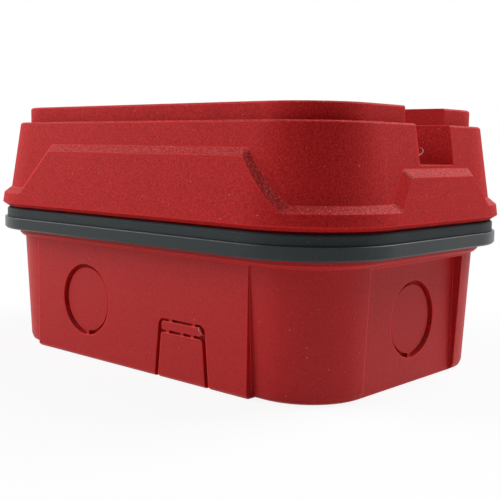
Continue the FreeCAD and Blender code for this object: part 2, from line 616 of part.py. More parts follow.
def back_box():
    """Lower box: drafted walls, flat panels, collar, knock-outs, pillars and wall fixing holes."""
    wall_top = -WALL_SETBACK
    wall_foot = wall_top - WALL_DRAFT
    body = stack([
        (0, wall_foot - FLOOR_ROUND * 0.75),
        (FLOOR_ROUND * 0.3, wall_foot - FLOOR_ROUND * 0.2),
        (FLOOR_ROUND, wall_foot + WALL_DRAFT * FLOOR_ROUND / COLLAR_Z),
        (COLLAR_Z, wall_top),
    ])
    panel_x0 = LONG_PANEL_SHIFT - LONG_PANEL_HALF
    panel_x1 = LONG_PANEL_SHIFT + LONG_PANEL_HALF
    edge = FLOOR_ROUND * 0.4
    profile = Part.makePolygon([
        Vector(panel_x0, -LONG_PANEL_Y + edge, 0),
        Vector(panel_x0, 0, 0),
        Vector(panel_x0, 0, COLLAR_Z),
        Vector(panel_x0, -LONG_PANEL_Y, COLLAR_Z),
        Vector(panel_x0, -LONG_PANEL_Y, edge),
        Vector(panel_x0, -LONG_PANEL_Y + edge, 0),
    ])
    long_panel = Part.Face(profile).extrude(Vector(panel_x1 - panel_x0, 0, 0))
    body = body.multiFuse([long_panel, half_turn(long_panel)])
    recess = block(END_PANEL_X, END_PANEL_X + 20, -END_PANEL_HALF, END_PANEL_HALF, -1, COLLAR_Z - COLLAR_EDGE)
    body = body.cut(recess).cut(half_turn(recess))
    collar = stack([
        (COLLAR_Z, -COLLAR_EDGE),
        (COLLAR_Z + COLLAR_EDGE, 0),
        (BOX_Z, 0),
    ])
    inset = wall_top - BOX_WALL
    tongue = slab(inset + TONGUE_THICKNESS, BOX_Z - 1, BOX_Z + TONGUE_HEIGHT)
    body = body.multiFuse([collar, tongue])
    cavity = stack([
        (BOX_FLOOR, wall_foot - BOX_WALL),
        (COLLAR_Z, inset),
    ]).fuse(slab(inset, COLLAR_Z - 0.5, BOX_Z + TONGUE_HEIGHT + 1))
    hollow = body.cut(cavity)
    pads = []
    for x, y in corners(SCREW_X, SCREW_Y):
        top = COLUMN_FOOT_Z - PILLAR_GAP
        pads.append(cylinder(PILLAR_RADIUS, x, y, 1, top))
        pads.append(column_web(x, y, 1, top - 4, PILLAR_RADIUS, WEB_REACH).common(slab(inset + 1, 0, BOX_Z)))
    for x, y in corners(FIXING_SPACING_X / 2, FIXING_SPACING_Y / 2):
        pads.append(cylinder(FIXING_BOSS_RADIUS, x, y, 1, BOX_FLOOR + FIXING_BOSS_HEIGHT))
    end_lining = block(
        END_PANEL_X - BOX_WALL, END_PANEL_X, -END_PANEL_HALF - 2, END_PANEL_HALF + 2, 1, COLLAR_Z + 1,
    )
    pads += [end_lining, half_turn(end_lining)]
    hollow = hollow.multiFuse(pads)
    cuts = []
    for x, y in corners(SCREW_X, SCREW_Y):
        top = COLUMN_FOOT_Z - PILLAR_GAP
        cuts.append(cylinder(INSERT_RADIUS, x, y, top - INSERT_LENGTH, top + 1))
    for x, y in corners(FIXING_SPACING_X / 2, FIXING_SPACING_Y / 2):
        cuts.append(cylinder(FIXING_RADIUS, x, y, -1, BOX_FLOOR + FIXING_BOSS_HEIGHT + 1))
    long_knockout = knockout_groove(KNOCKOUT_RADIUS)
    long_knockout.translate(Vector(LONG_KNOCKOUT_X, -LONG_PANEL_Y, KNOCKOUT_Z))
    gate = gate_groove()
    gate.translate(Vector(GATE_X, -LONG_PANEL_Y, 0))
    end_knockout = knockout_groove(KNOCKOUT_RADIUS)
    end_knockout.rotate(Vector(0, 0, 0), UP, 90)
    end_knockout.translate(Vector(END_PANEL_X, END_KNOCKOUT_Y, KNOCKOUT_Z))
    for shape in (long_knockout, gate, end_knockout):
        cuts += [shape, half_turn(shape)]
    floor_knockout = knockout_groove(FLOOR_KNOCKOUT_RADIUS)
    floor_knockout.rotate(Vector(0, 0, 0), Vector(1, 0, 0), 90)
    cuts.append(floor_knockout)
    for shape in cuts:
        hollow = hollow.cut(shape)
    return hollow.removeSplitter()


def ring(overhang, z0, z1, round_low, round_high):
    """Flat sealing ring with softened outer edges."""
    levels = [(z0, overhang - round_low), (z0 + round_low, overhang)]
    levels += [(z1 - round_high, overhang), (z1, overhang - round_high)]
    levels = [level for i, level in enumerate(levels) if i == 0 or level[0] - levels[i - 1][0] > 1e-6]
    return stack(levels).cut(slab(-RING_INSET, z0 - 1, z1 + 1))


def insert_sleeves():
    """Brass threaded inserts in the back box pillars."""
    top = COLUMN_FOOT_Z - PILLAR_GAP
    sleeves = []
    for x, y in corners(SCREW_X, SCREW_Y):
        sleeve = cylinder(INSERT_RADIUS, x, y, top - INSERT_LENGTH, top)
        sleeves.append(sleeve.cut(cylinder(SCREW_RADIUS + THREAD_PLAY, x, y, 0, FRONT_Z)))
    return sleeves


def cover_screws():
    """Long screws that hold the front housing on the back box."""
    seat = SCREW_SEAT_Z + SEAL_THICKNESS
    return [
        screw(SCREW_RADIUS, SCREW_HEAD_RADIUS, SCREW_HEAD_HEIGHT, x, y, seat, SCREW_TIP_Z)
        for x, y in corners(SCREW_X, SCREW_Y)
    ]


def screw_seals():
    """Sealing washers under the cover screws' heads."""
    seals = []
    for x, y in corners(SCREW_X, SCREW_Y):
        seal = cylinder(SCREW_HEAD_RADIUS, x, y, SCREW_SEAT_Z, SCREW_SEAT_Z + SEAL_THICKNESS)
        seals.append(seal.cut(cylinder(SCREW_RADIUS + THREAD_PLAY, x, y, 0, FRONT_Z)))
    return seals


def chassis_plate():
    """Closing plate under the electronics, with standoffs for the circuit board."""
    top = CHASSIS_Z + CHASSIS_THICKNESS
    plate = slab(-CHASSIS_INSET, CHASSIS_Z, top)
    standoffs = [
        cylinder(STANDOFF_RADIUS, x, y, CHASSIS_Z, top + STANDOFF_HEIGHT)
        for x, y in corners(STANDOFF_X, STANDOFF_Y)
    ]
    plate = plate.multiFuse(standoffs)
    holes = [cylinder(COLUMN_RADIUS + 0.4, x, y, 0, FRONT_Z) for x, y in corners(SCREW_X, SCREW_Y)]
    for x, y in corners(CHASSIS_BOSS_X, CHASSIS_BOSS_Y):
        holes.append(cylinder(SMALL_SCREW_RADIUS + HOLE_PLAY, x, y, 0, FRONT_Z))
    for x, y in corners(STANDOFF_X, STANDOFF_Y):
        holes.append(cylinder(SMALL_SCREW_RADIUS + THREAD_PLAY, x, y, CHASSIS_Z + 0.5, FRONT_Z))
    half = BLOCK_SIZE[0] / 2 - 4
    holes.append(rounded_block(
        BLOCK_CENTRE[0] - half, BLOCK_CENTRE[0] + half, BLOCK_CENTRE[1] + BLOCK_SIZE[1] / 2 + 2,
        BLOCK_CENTRE[1] + BLOCK_SIZE[1] / 2 + 8, 0, FRONT_Z, 2.5,
    ))
    return plate.cut(holes[0].multiFuse(holes[1:])).removeSplitter()


def chassis_screws():
    """Small screws from below into the housing's bosses."""
    return [
        screw(SMALL_SCREW_RADIUS, SMALL_HEAD_RADIUS, SMALL_HEAD_HEIGHT, x, y,
              CHASSIS_Z, CHASSIS_Z + SMALL_SCREW_LENGTH)
        for x, y in corners(CHASSIS_BOSS_X, CHASSIS_BOSS_Y)
    ]


def board_bottom():
    """Height of the circuit board's underside."""
    return CHASSIS_Z + CHASSIS_THICKNESS + STANDOFF_HEIGHT


def board_top():
    """Height of the circuit board's component side."""
    return board_bottom() + BOARD_THICKNESS


def circuit_board():
    """Circuit board with its fixing holes."""
    half_x = BOARD_LENGTH / 2
    half_y = BOARD_WIDTH / 2
    board = rounded_block(-half_x, half_x, -half_y, half_y, board_bottom(), board_top(), 2.0)
    for x, y in corners(STANDOFF_X, STANDOFF_Y):
        board = board.cut(cylinder(SMALL_SCREW_RADIUS + HOLE_PLAY, x, y, 0, FRONT_Z))
    return board


def board_screws():
    """Small screws through the board into the standoffs."""
    tip = CHASSIS_Z + 1.0
    return [
        screw(SMALL_SCREW_RADIUS, SMALL_HEAD_RADIUS, SMALL_HEAD_HEIGHT, x, y, board_top(), tip)
        for x, y in corners(STANDOFF_X, STANDOFF_Y)
    ]


def core_middle_z():
    """Height of the transformer's winding axis."""
    return board_top() + BOBBIN_HEIGHT / 2


def transformer_core():
    """Ferrite core: a frame with a middle leg along Y."""
    x, y = CORE_CENTRE
    z = core_middle_z()
    half_x = CORE_LENGTH / 2
    half_y = CORE_DEPTH / 2
    half_z = CORE_HEIGHT / 2
    core = block(x - half_x, x + half_x, y - half_y, y + half_y, z - half_z, z + half_z)
    for side in (-1, 1):
        inner = CORE_LEG / 2
        outer = half_x - CORE_YOKE
        x0, x1 = sorted((x + side * inner, x + side * outer))
        core = core.cut(block(x0, x1, y - half_y + CORE_YOKE, y + half_y - CORE_YOKE, 0, FRONT_Z))
    return core


def bobbin_parts(inset_x, inset_z, y0, y1):
    """Racetrack block around the middle leg, drawn in from the bobbin's outside."""
    x = CORE_CENTRE[0]
    z = core_middle_z()
    half_x = BOBBIN_WIDTH / 2 - inset_x
    half_z = BOBBIN_HEIGHT / 2 - inset_z
    points = [
        Vector(x + half_x, y0, z - half_z), Vector(x + half_x, y0, z + half_z),
        Vector(x - half_x, y0, z + half_z), Vector(x - half_x, y0, z - half_z),
    ]
    return Part.Face(rounded_wire(points, 2.0)).extrude(Vector(0, y1 - y0, 0))


def leg_space():
    """Clear passage of the core's middle leg through bobbin and winding."""
    x, y = CORE_CENTRE
    z = core_middle_z()
    half_x = CORE_LEG / 2 + HOLE_PLAY
    half_z = CORE_HEIGHT / 2 + HOLE_PLAY
    return block(x - half_x, x + half_x, y - CORE_DEPTH, y + CORE_DEPTH, z - half_z, z + half_z)


def winding_wall():
    """Outer form of the bobbin's tube around the middle leg."""
    return leg_space().BoundBox


def transformer_bobbin():
    """Bobbin: a tube around the middle leg with a flange at each end."""
    y = CORE_CENTRE[1]
    reach = CORE_DEPTH / 2 - CORE_YOKE - HOLE_PLAY
    tube = winding_wall()
    body = block(tube.XMin - BOBBIN_WALL, tube.XMax + BOBBIN_WALL, y - reach, y + reach,
                 tube.ZMin - BOBBIN_WALL, tube.ZMax + BOBBIN_WALL)
    flanges = [
        bobbin_parts(0, 0, y - reach, y - reach + BOBBIN_WALL),
        bobbin_parts(0, 0, y + reach - BOBBIN_WALL, y + reach),
    ]
    return body.multiFuse(flanges).cut(leg_space()).removeSplitter()


def transformer_winding():
    """Taped winding between the bobbin's flanges."""
    y = CORE_CENTRE[1]
    reach = CORE_DEPTH / 2 - CORE_YOKE - HOLE_PLAY - BOBBIN_WALL
    tube = winding_wall()
    pack = bobbin_parts(WINDING_MARGIN, WINDING_MARGIN, y - reach, y + reach)
    return pack.cut(block(tube.XMin - BOBBIN_WALL, tube.XMax + BOBBIN_WALL, y - 40, y + 40,
                          tube.ZMin - BOBBIN_WALL, tube.ZMax + BOBBIN_WALL))


def storage_capacitor():
    """Boxed film capacitor that feeds the transformer."""
    x, y = CAPACITOR_CENTRE
    length, width, height = CAPACITOR_SIZE
    z = board_top()
    body = rounded_block(x - length / 2, x + length / 2, y - width / 2, y + width / 2, z, z + height, 1.2)
    return body.makeChamfer(0.6, [e for e in body.Edges if e.BoundBox.ZMin > z + height - 0.1])


def filter_capacitor():
    """Round electrolytic capacitor standing on the board."""
    x, y = FILTER_CENTRE
    z = board_top()
    waist = 0.35
    profile = [
        Vector(0, 0, 0), Vector(FILTER_RADIUS - waist, 0, 0), Vector(FILTER_RADIUS, 0, waist),
        Vector(FILTER_RADIUS, 0, 1.4), Vector(FILTER_RADIUS - waist, 0, 1.8), Vector(FILTER_RADIUS, 0, 2.2),
        Vector(FILTER_RADIUS, 0, FILTER_HEIGHT - waist), Vector(FILTER_RADIUS - waist, 0, FILTER_HEIGHT),
        Vector(0, 0, FILTER_HEIGHT), Vector(0, 0, 0),
    ]
    can = Part.Face(Part.makePolygon(profile)).revolve(Vector(0, 0, 0), UP, 360)
    can.translate(Vector(x, y, z))
    return can


def suppressor_disc():
    """Surge suppressor: a disc on two legs."""
    x, y = SUPPRESSOR_CENTRE
    z = board_top() + 1.6 + SUPPRESSOR_RADIUS
    half = SUPPRESSOR_THICKNESS / 2
    disc = Part.makeCylinder(SUPPRESSOR_RADIUS, SUPPRESSOR_THICKNESS, Vector(x - half, y, z), Vector(1, 0, 0))
    disc = disc.makeChamfer(half * 0.4, [e for e in disc.Edges if e.Closed])
    legs = [cylinder(0.35, x, y + side * 2.5, board_top(), z) for side in (-1, 1)]
    return disc.multiFuse(legs)


def heat_sink():
    """Finned aluminium heat sink standing on the board."""
    x, y = SINK_CENTRE
    thickness, width, height = SINK_SIZE
    z = board_top()
    plate = block(x, x + thickness, y - width / 2, y + width / 2, z, z + height)
    pitch = (width - SINK_FIN_THICKNESS) / (SINK_FIN_COUNT - 1)
    fins = []
    for i in range(SINK_FIN_COUNT):
        y0 = y - width / 2 + i * pitch
        fins.append(block(x + thickness, x + thickness + SINK_FIN_LENGTH, y0, y0 + SINK_FIN_THICKNESS, z, z + height))
    return plate.multiFuse(fins).removeSplitter()


def thyristor():
    """Power switch with its tab flat on the heat sink."""
    x1, y = SINK_CENTRE
    depth, width, height = THYRISTOR_SIZE
    z = board_top() + 2.5
    tab = block(x1 - 1.3, x1, y - width / 2, y + width / 2, z, board_top() + SINK_SIZE[2] - 1)
    body = block(x1 - depth, x1 - 0.6, y - width / 2, y + width / 2, z, z + height)
    legs = [block(x1 - 2.4, x1 - 1.7, y + i * 2.54 - 0.4, y + i * 2.54 + 0.4, board_top(), z + 1) for i in (-1, 0, 1)]
    return tab.multiFuse([body] + legs).removeSplitter()


def output_resistor():
    """Axial discharge resistor with its legs bent down to the board."""
    x, y = RESISTOR_CENTRE
    z = board_top() + RESISTOR_RADIUS + 0.3
    half = RESISTOR_LENGTH / 2
    body = Part.makeCylinder(RESISTOR_RADIUS, RESISTOR_LENGTH, Vector(x - half, y, z), Vector(1, 0, 0))
    wire = Part.makeCylinder(0.4, RESISTOR_LENGTH + 4, Vector(x - half - 2, y, z), Vector(1, 0, 0))
    legs = [cylinder(0.4, x + side * (half + 2), y, board_top(), z + 0.4) for side in (-1, 1)]
    return body.multiFuse([wire] + legs)


def block_ways():
    """X positions of the terminal block's ways."""
    pitch = BLOCK_SIZE[0] / BLOCK_WAYS
    return [BLOCK_CENTRE[0] + (i - (BLOCK_WAYS - 1) / 2) * pitch for i in range(BLOCK_WAYS)]


def supply_block():
    """Supply terminal block hanging under the chassis plate."""
    x, y = BLOCK_CENTRE
    length, width, height = BLOCK_SIZE
    z0 = CHASSIS_Z - height
    body = block(x - length / 2, x + length / 2, y - width / 2, y + width / 2, z0, CHASSIS_Z)
    shoulder = block(x - length, x + length, y - width, y - width * 0.18, z0 - 1, z0 + height * 0.3)
    body = body.cut(shoulder)
    for way in block_ways():
        body = body.cut(cylinder(BLOCK_SCREW_RADIUS + 0.25, way, y + width * 0.16, z0 - 1, z0 + height * 0.55))
        entry = Part.makeCylinder(
            BLOCK_ENTRY_RADIUS, width * 0.7, Vector(way, y - width / 2 - 1, CHASSIS_Z - height * 0.42), Vector(0, 1, 0),
        )
        body = body.cut(entry)
    for i in range(1, BLOCK_WAYS):
        x_gap = (block_ways()[i - 1] + block_ways()[i]) / 2
        body = body.cut(block(x_gap - 0.5, x_gap + 0.5, y - width, y + width, z0 - 1, z0 + 2.0))
    return body


def supply_screws():
    """Clamp screws of the terminal block."""
    x, y = BLOCK_CENTRE
    height = BLOCK_SIZE[2]
    z0 = CHASSIS_Z - height
    screws = []
    for way in block_ways():
        pin = cylinder(BLOCK_SCREW_RADIUS, way, y + BLOCK_SIZE[1] * 0.16, z0 + 1.2, z0 + height * 0.55)
        screws.append(pin.cut(block(way - 3, way + 3, y + BLOCK_SIZE[1] * 0.16 - 0.35,
                                    y + BLOCK_SIZE[1] * 0.16 + 0.35, z0, z0 + 2.0)))
    return screws


def switch_body():
    """Snap-in switch body with its bezel and two blade contacts."""
    bezel_x, bezel_y, bezel_z = SWITCH_BEZEL
    body_x, body_y, body_z = SWITCH_BODY
    seat = FRONT_Z - POCKET_DEPTH
    bezel = rounded_block(SWITCH_X - bezel_x / 2, SWITCH_X + bezel_x / 2, -bezel_y / 2, bezel_y / 2,
                          seat, seat + bezel_z, 1.0)
    body = block(SWITCH_X - body_x / 2, SWITCH_X + body_x / 2, -body_y / 2, body_y / 2, seat - body_z, seat + 0.5)
    blades = [
        block(SWITCH_X + i * 6 - 0.4, SWITCH_X + i * 6 + 0.4, -2.4, 2.4, seat - body_z - 4.5, seat - body_z + 1)
        for i in (-1, 1)
    ]
    solid = bezel.multiFuse([body] + blades)
    half_x = ROCKER_SIZE[0] / 2 + ROCKER_GAP
    half_y = ROCKER_SIZE[1] / 2 + ROCKER_GAP
    well = block(SWITCH_X - half_x, SWITCH_X + half_x, -half_y, half_y, seat - 8.0, FRONT_Z + 5)
    pivot = rocker_pins(ROCKER_PIN_RADIUS + THREAD_PLAY, ROCKER_PIN_LENGTH + HOLE_PLAY)
    return solid.cut(well.fuse(pivot)).removeSplitter()


def rocker_pins(radius, length):
    """Pivot pins that stand out of both sides of the rocker."""
    reach = ROCKER_SIZE[1] / 2 + ROCKER_GAP + length
    start = Vector(SWITCH_X, -reach, ROCKER_PIVOT_Z)
    return Part.makeCylinder(radius, 2 * reach, start, Vector(0, 1, 0))


def switch_rocker():
    """Rocker: a shallow V seen from the side, pressed down at its -X end."""
    half = ROCKER_SIZE[0] / 2
    width = ROCKER_SIZE[1]
    pivot = ROCKER_PIVOT_Z
    edge_z = pivot + ROCKER_CROWN + half * math.tan(math.radians(ROCKER_TILT))
    dip_z = pivot + ROCKER_CROWN
    under = pivot - 2.6
    half_in = half - 0.9
    profile = [
        Vector(-half_in, 0, edge_z), Vector(0, 0, dip_z), Vector(half_in, 0, edge_z),
        Vector(half_in, 0, pivot), Vector(2.4, 0, under), Vector(-2.4, 0, under),
        Vector(-half_in, 0, pivot), Vector(-half_in, 0, edge_z),
    ]
    solid = Part.Face(Part.makePolygon(profile)).extrude(Vector(0, width, 0))
    solid.translate(Vector(SWITCH_X, -width / 2, 0))
    solid.rotate(Vector(SWITCH_X, 0, pivot), Vector(0, 1, 0), -ROCKER_TILT)
    return solid.fuse(rocker_pins(ROCKER_PIN_RADIUS, ROCKER_PIN_LENGTH))


def indicator_lens():
    """Domed lens pressed into the front face."""
    sink = FRONT_Z - LENS_LENGTH
    stem = cylinder(LENS_RADIUS, LENS_X, 0, sink, FRONT_Z + 0.3)
    rise = LENS_RISE - LENS_RIM
    ball_radius = (LENS_FLANGE ** 2 + rise ** 2) / (2 * rise)
    ball = Part.makeSphere(ball_radius, Vector(LENS_X, 0, FRONT_Z + LENS_RISE - ball_radius))
    dome = ball.common(cylinder(LENS_FLANGE, LENS_X, 0, FRONT_Z, FRONT_Z + LENS_RISE + 1))
    return stem.fuse(dome).removeSplitter()


def indicator_lamp():
    """Lamp on two long legs under the lens."""
    top = FRONT_Z - LENS_LENGTH - REST_GAP
    base = top - LAMP_LENGTH
    dome = Part.makeSphere(LAMP_RADIUS, Vector(LENS_X, 0, top - LAMP_RADIUS))
    body = cylinder(LAMP_RADIUS, LENS_X, 0, base, top - LAMP_RADIUS)
    legs = [cylinder(0.3, LENS_X, side * 1.27, board_top(), base + 0.5) for side in (-1, 1)]
    return body.multiFuse([dome] + legs).removeSplitter()


def terminal_rows():
    """Y positions of the fence and earth terminals."""
    return (CHANNEL_Y - TERMINAL_HALF_SPACING, CHANNEL_Y + TERMINAL_HALF_SPACING)


def terminal_levels():
    """Heights of washer, nut, clamp washer and knob, from the bay's floor up."""
    washer = CHANNEL_FLOOR_Z
    nut = washer + FIXED_WASHER_THICKNESS
    clamp = nut + NUT_HEIGHT + REST_GAP
    knob = clamp + CLAMP_WASHER_THICKNESS
    return washer, nut, clamp, knob


def stud(y):
    """Terminal stud: hexagonal head under the bay's floor, shank up through it."""
    under = CHANNEL_FLOOR_Z - CHANNEL_FLOOR
    head = hexagon(STUD_HEAD_ACROSS, TERMINAL_X, y, under - STUD_HEAD_HEIGHT, under)
    shank = cylinder(STUD_RADIUS, TERMINAL_X, y, under - 1, STUD_TOP_Z)
    top = [e for e in shank.Edges if e.Closed and e.BoundBox.ZMin > STUD_TOP_Z - 0.1]
    return head.fuse(shank.makeChamfer(0.5, top)).removeSplitter()


def fixed_washers():
    """Plain washers on the floor of the bay."""
    z = terminal_levels()[0]
    washers = []
    for y in terminal_rows():
        disc = cylinder(FIXED_WASHER_RADIUS, TERMINAL_X, y, z, z + FIXED_WASHER_THICKNESS)
        washers.append(disc.cut(cylinder(STUD_RADIUS + THREAD_PLAY, TERMINAL_X, y, 0, FRONT_Z)))
    return washers


def stud_nuts():
    """Hexagonal nuts that lock the studs."""
    z = terminal_levels()[1]
    nuts = []
    for y in terminal_rows():
        nut = hexagon(NUT_ACROSS, TERMINAL_X, y, z, z + NUT_HEIGHT)
        nuts.append(nut.cut(cylinder(STUD_RADIUS + THREAD_PLAY, TERMINAL_X, y, 0, FRONT_Z)))
    return nuts


def clamp_washer(y):
    """Captive washer under a knob; it rises with the knob."""
    z = terminal_levels()[2]
    disc = cylinder(CLAMP_WASHER_RADIUS, TERMINAL_X, y, z, z + CLAMP_WASHER_THICKNESS)
    return disc.cut(cylinder(STUD_RADIUS + HOLE_PLAY, TERMINAL_X, y, 0, FRONT_Z))


def knob(y):
    """Fluted thumb knob with a blind threaded bore."""
    z = terminal_levels()[3] + 0.05
    body = cylinder(KNOB_RADIUS, TERMINAL_X, y, z, z + KNOB_HEIGHT)
    rims = [e for e in body.Edges if e.Closed and e.BoundBox.ZMin > z + KNOB_HEIGHT - 0.1]
    body = body.makeChamfer(0.8, rims)
    reach = KNOB_RADIUS + KNOB_FLUTE_RADIUS * 0.55
    flutes = []
    for i in range(KNOB_FLUTES):
        angle = 2 * math.pi * i / KNOB_FLUTES
        flutes.append(cylinder(KNOB_FLUTE_RADIUS, TERMINAL_X + reach * math.cos(angle),
                               y + reach * math.sin(angle), z - 1, z + KNOB_HEIGHT + 1))
    body = body.cut(flutes[0].multiFuse(flutes[1:]))
    return body.cut(cylinder(STUD_RADIUS + THREAD_PLAY, TERMINAL_X, y, z - 1, z + KNOB_HEIGHT - 1.2))


def build():
    """All nodes by name; a list is a group of separate solids."""
    fence_y, earth_y = terminal_rows()
    return {
        "back_box": back_box(),
        "box_inserts": insert_sleeves(),
        "frame_ring": ring(LOWER_RING_OVERHANG, BOX_Z, RING_SPLIT_Z, RING_ROUND, RING_ROUND * 0.4),
        "seal_ring": ring(UPPER_RING_OVERHANG, RING_SPLIT_Z, RING_TOP_Z, 0, RING_ROUND),
        "front_housing": front_housing(),
        "cover_screws": cover_screws(),
        "cover_screw_seals": screw_seals(),
        "chassis_plate": chassis_plate(),
        "chassis_screws": chassis_screws(),
        "circuit_board": circuit_board(),
        "board_screws": board_screws(),
        "transformer_core": transformer_core(),
        "transformer_bobbin": transformer_bobbin(),
        "transformer_winding": transformer_winding(),
        "storage_capacitor": storage_capacitor(),
        "filter_capacitor": filter_capacitor(),
        "suppressor_disc": suppressor_disc(),
        "heat_sink": heat_sink(),
        "thyristor": thyristor(),
        "output_resistor": output_resistor(),
        "supply_terminal_block": supply_block(),
        "supply_terminal_screws": supply_screws(),
        "switch_body": switch_body(),
        "switch_rocker": switch_rocker(),
        "indicator_lens": indicator_lens(),
        "indicator_lamp": indicator_lamp(),
        "fence_stud": stud(fence_y),
        "earth_stud": stud(earth_y),
        "stud_washers": fixed_washers(),
        "stud_nuts": stud_nuts(),
        "fence_clamp_washer": clamp_washer(fence_y),
        "earth_clamp_washer": clamp_washer(earth_y),
        "fence_knob": knob(fence_y),
        "earth_knob": knob(earth_y),
    }


os.makedirs("parts", exist_ok=True)
for name, shape in build().items():
    solid = Part.makeCompound(shape) if isinstance(shape, list) else shape
    solid.exportStep("parts/" + name + ".step")
    print(name, "solids", len(solid.Solids), "valid", solid.isValid(), "volume", round(solid.Volume, 1))
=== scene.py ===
"""Looks of a small wall-mounted fence energizer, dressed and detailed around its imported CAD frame."""
from __future__ import annotations

import logging
import math
from collections.abc import Callable, Iterable, Sequence
from dataclasses import dataclass, field
from enum import Enum

import bmesh
import bpy
from mathutils import Matrix, Vector

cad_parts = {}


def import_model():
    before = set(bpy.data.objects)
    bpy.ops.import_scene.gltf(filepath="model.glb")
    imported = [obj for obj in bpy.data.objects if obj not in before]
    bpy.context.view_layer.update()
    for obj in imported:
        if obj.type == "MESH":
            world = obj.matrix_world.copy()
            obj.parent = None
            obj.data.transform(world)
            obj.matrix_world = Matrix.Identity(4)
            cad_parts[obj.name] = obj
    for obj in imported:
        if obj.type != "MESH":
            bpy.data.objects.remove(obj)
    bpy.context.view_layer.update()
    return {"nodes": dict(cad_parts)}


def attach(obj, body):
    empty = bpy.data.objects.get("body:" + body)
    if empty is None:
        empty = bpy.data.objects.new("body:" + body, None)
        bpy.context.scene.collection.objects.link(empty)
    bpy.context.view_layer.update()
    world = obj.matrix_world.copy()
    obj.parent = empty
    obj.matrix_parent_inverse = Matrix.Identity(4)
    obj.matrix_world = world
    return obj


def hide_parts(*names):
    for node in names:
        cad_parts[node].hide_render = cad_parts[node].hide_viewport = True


LOG = logging.getLogger("energizer")
MM = 0.001
Colour = tuple[float, float, float]
Point = tuple[float, float, float]
Span = tuple[float, float]
Shaping = Callable[[float, float, float], tuple[float, float]]
WHITE: Colour = (1.0, 1.0, 1.0)


class Value:
    """A node socket that Python expressions can calculate with."""

    def __init__(self, graph: "Graph", socket: bpy.types.NodeSocket) -> None:
        """Keep the socket and the graph that it belongs to.

        Args:
            graph: Graph that new nodes are added to.
            socket: Output socket that carries the value.
        """
        self.graph = graph
        self.socket = socket

    def _math(self, operation: str, first: "Value | float", second: "Value | float") -> "Value":
        """Add one Math node.

        Args:
            operation: Name of the Math node's operation.
            first: Left operand.
            second: Right operand.

        Returns:
            The node's result.
        """
        return self.graph.node("ShaderNodeMath", {"operation": operation}, {0: first, 1: second})

    def __add__(self, other: "Value | float") -> "Value":
        """Sum."""
        return self._math("ADD", self, other)

    def __radd__(self, other: float) -> "Value":
        """Sum with a number on the left."""
        return self._math("ADD", other, self)

    def __sub__(self, other: "Value | float") -> "Value":
        """Difference."""
        return self._math("SUBTRACT", self, other)

    def __rsub__(self, other: float) -> "Value":
        """Difference from a number on the left."""
        return self._math("SUBTRACT", other, self)

    def __mul__(self, other: "Value | float") -> "Value":
        """Product."""
        return self._math("MULTIPLY", self, other)

    def __rmul__(self, other: float) -> "Value":
        """Product with a number on the left."""
        return self._math("MULTIPLY", other, self)

    def maximum(self, other: "Value | float") -> "Value":
        """Larger of two values."""
        return self._math("MAXIMUM", self, other)

    def rise(self, low: float, high: float) -> "Value":
        """Step smoothly from 0 at low to 1 at high; a high below low makes it fall.

        Args:
            low: Value at which the step begins.
            high: Value at which the step ends.

        Returns:
            The stepped value between 0 and 1.
        """
        ends = {"From Min": low, "From Max": high, "To Min": 0.0, "To Max": 1.0}
        if high < low:
            ends = {"From Min": high, "From Max": low, "To Min": 1.0, "To Max": 0.0}
        settings = {"interpolation_type": "SMOOTHSTEP", "clamp": True}
        return self.graph.node("ShaderNodeMapRange", settings, {"Value": self, **ends}, "Result")


@dataclass(frozen=True)
class Dots:
    """Scattered round dots: cells per millimetre, share of cells that hold one, and radius in cells."""

    per_mm: float
    share: float
    size: float


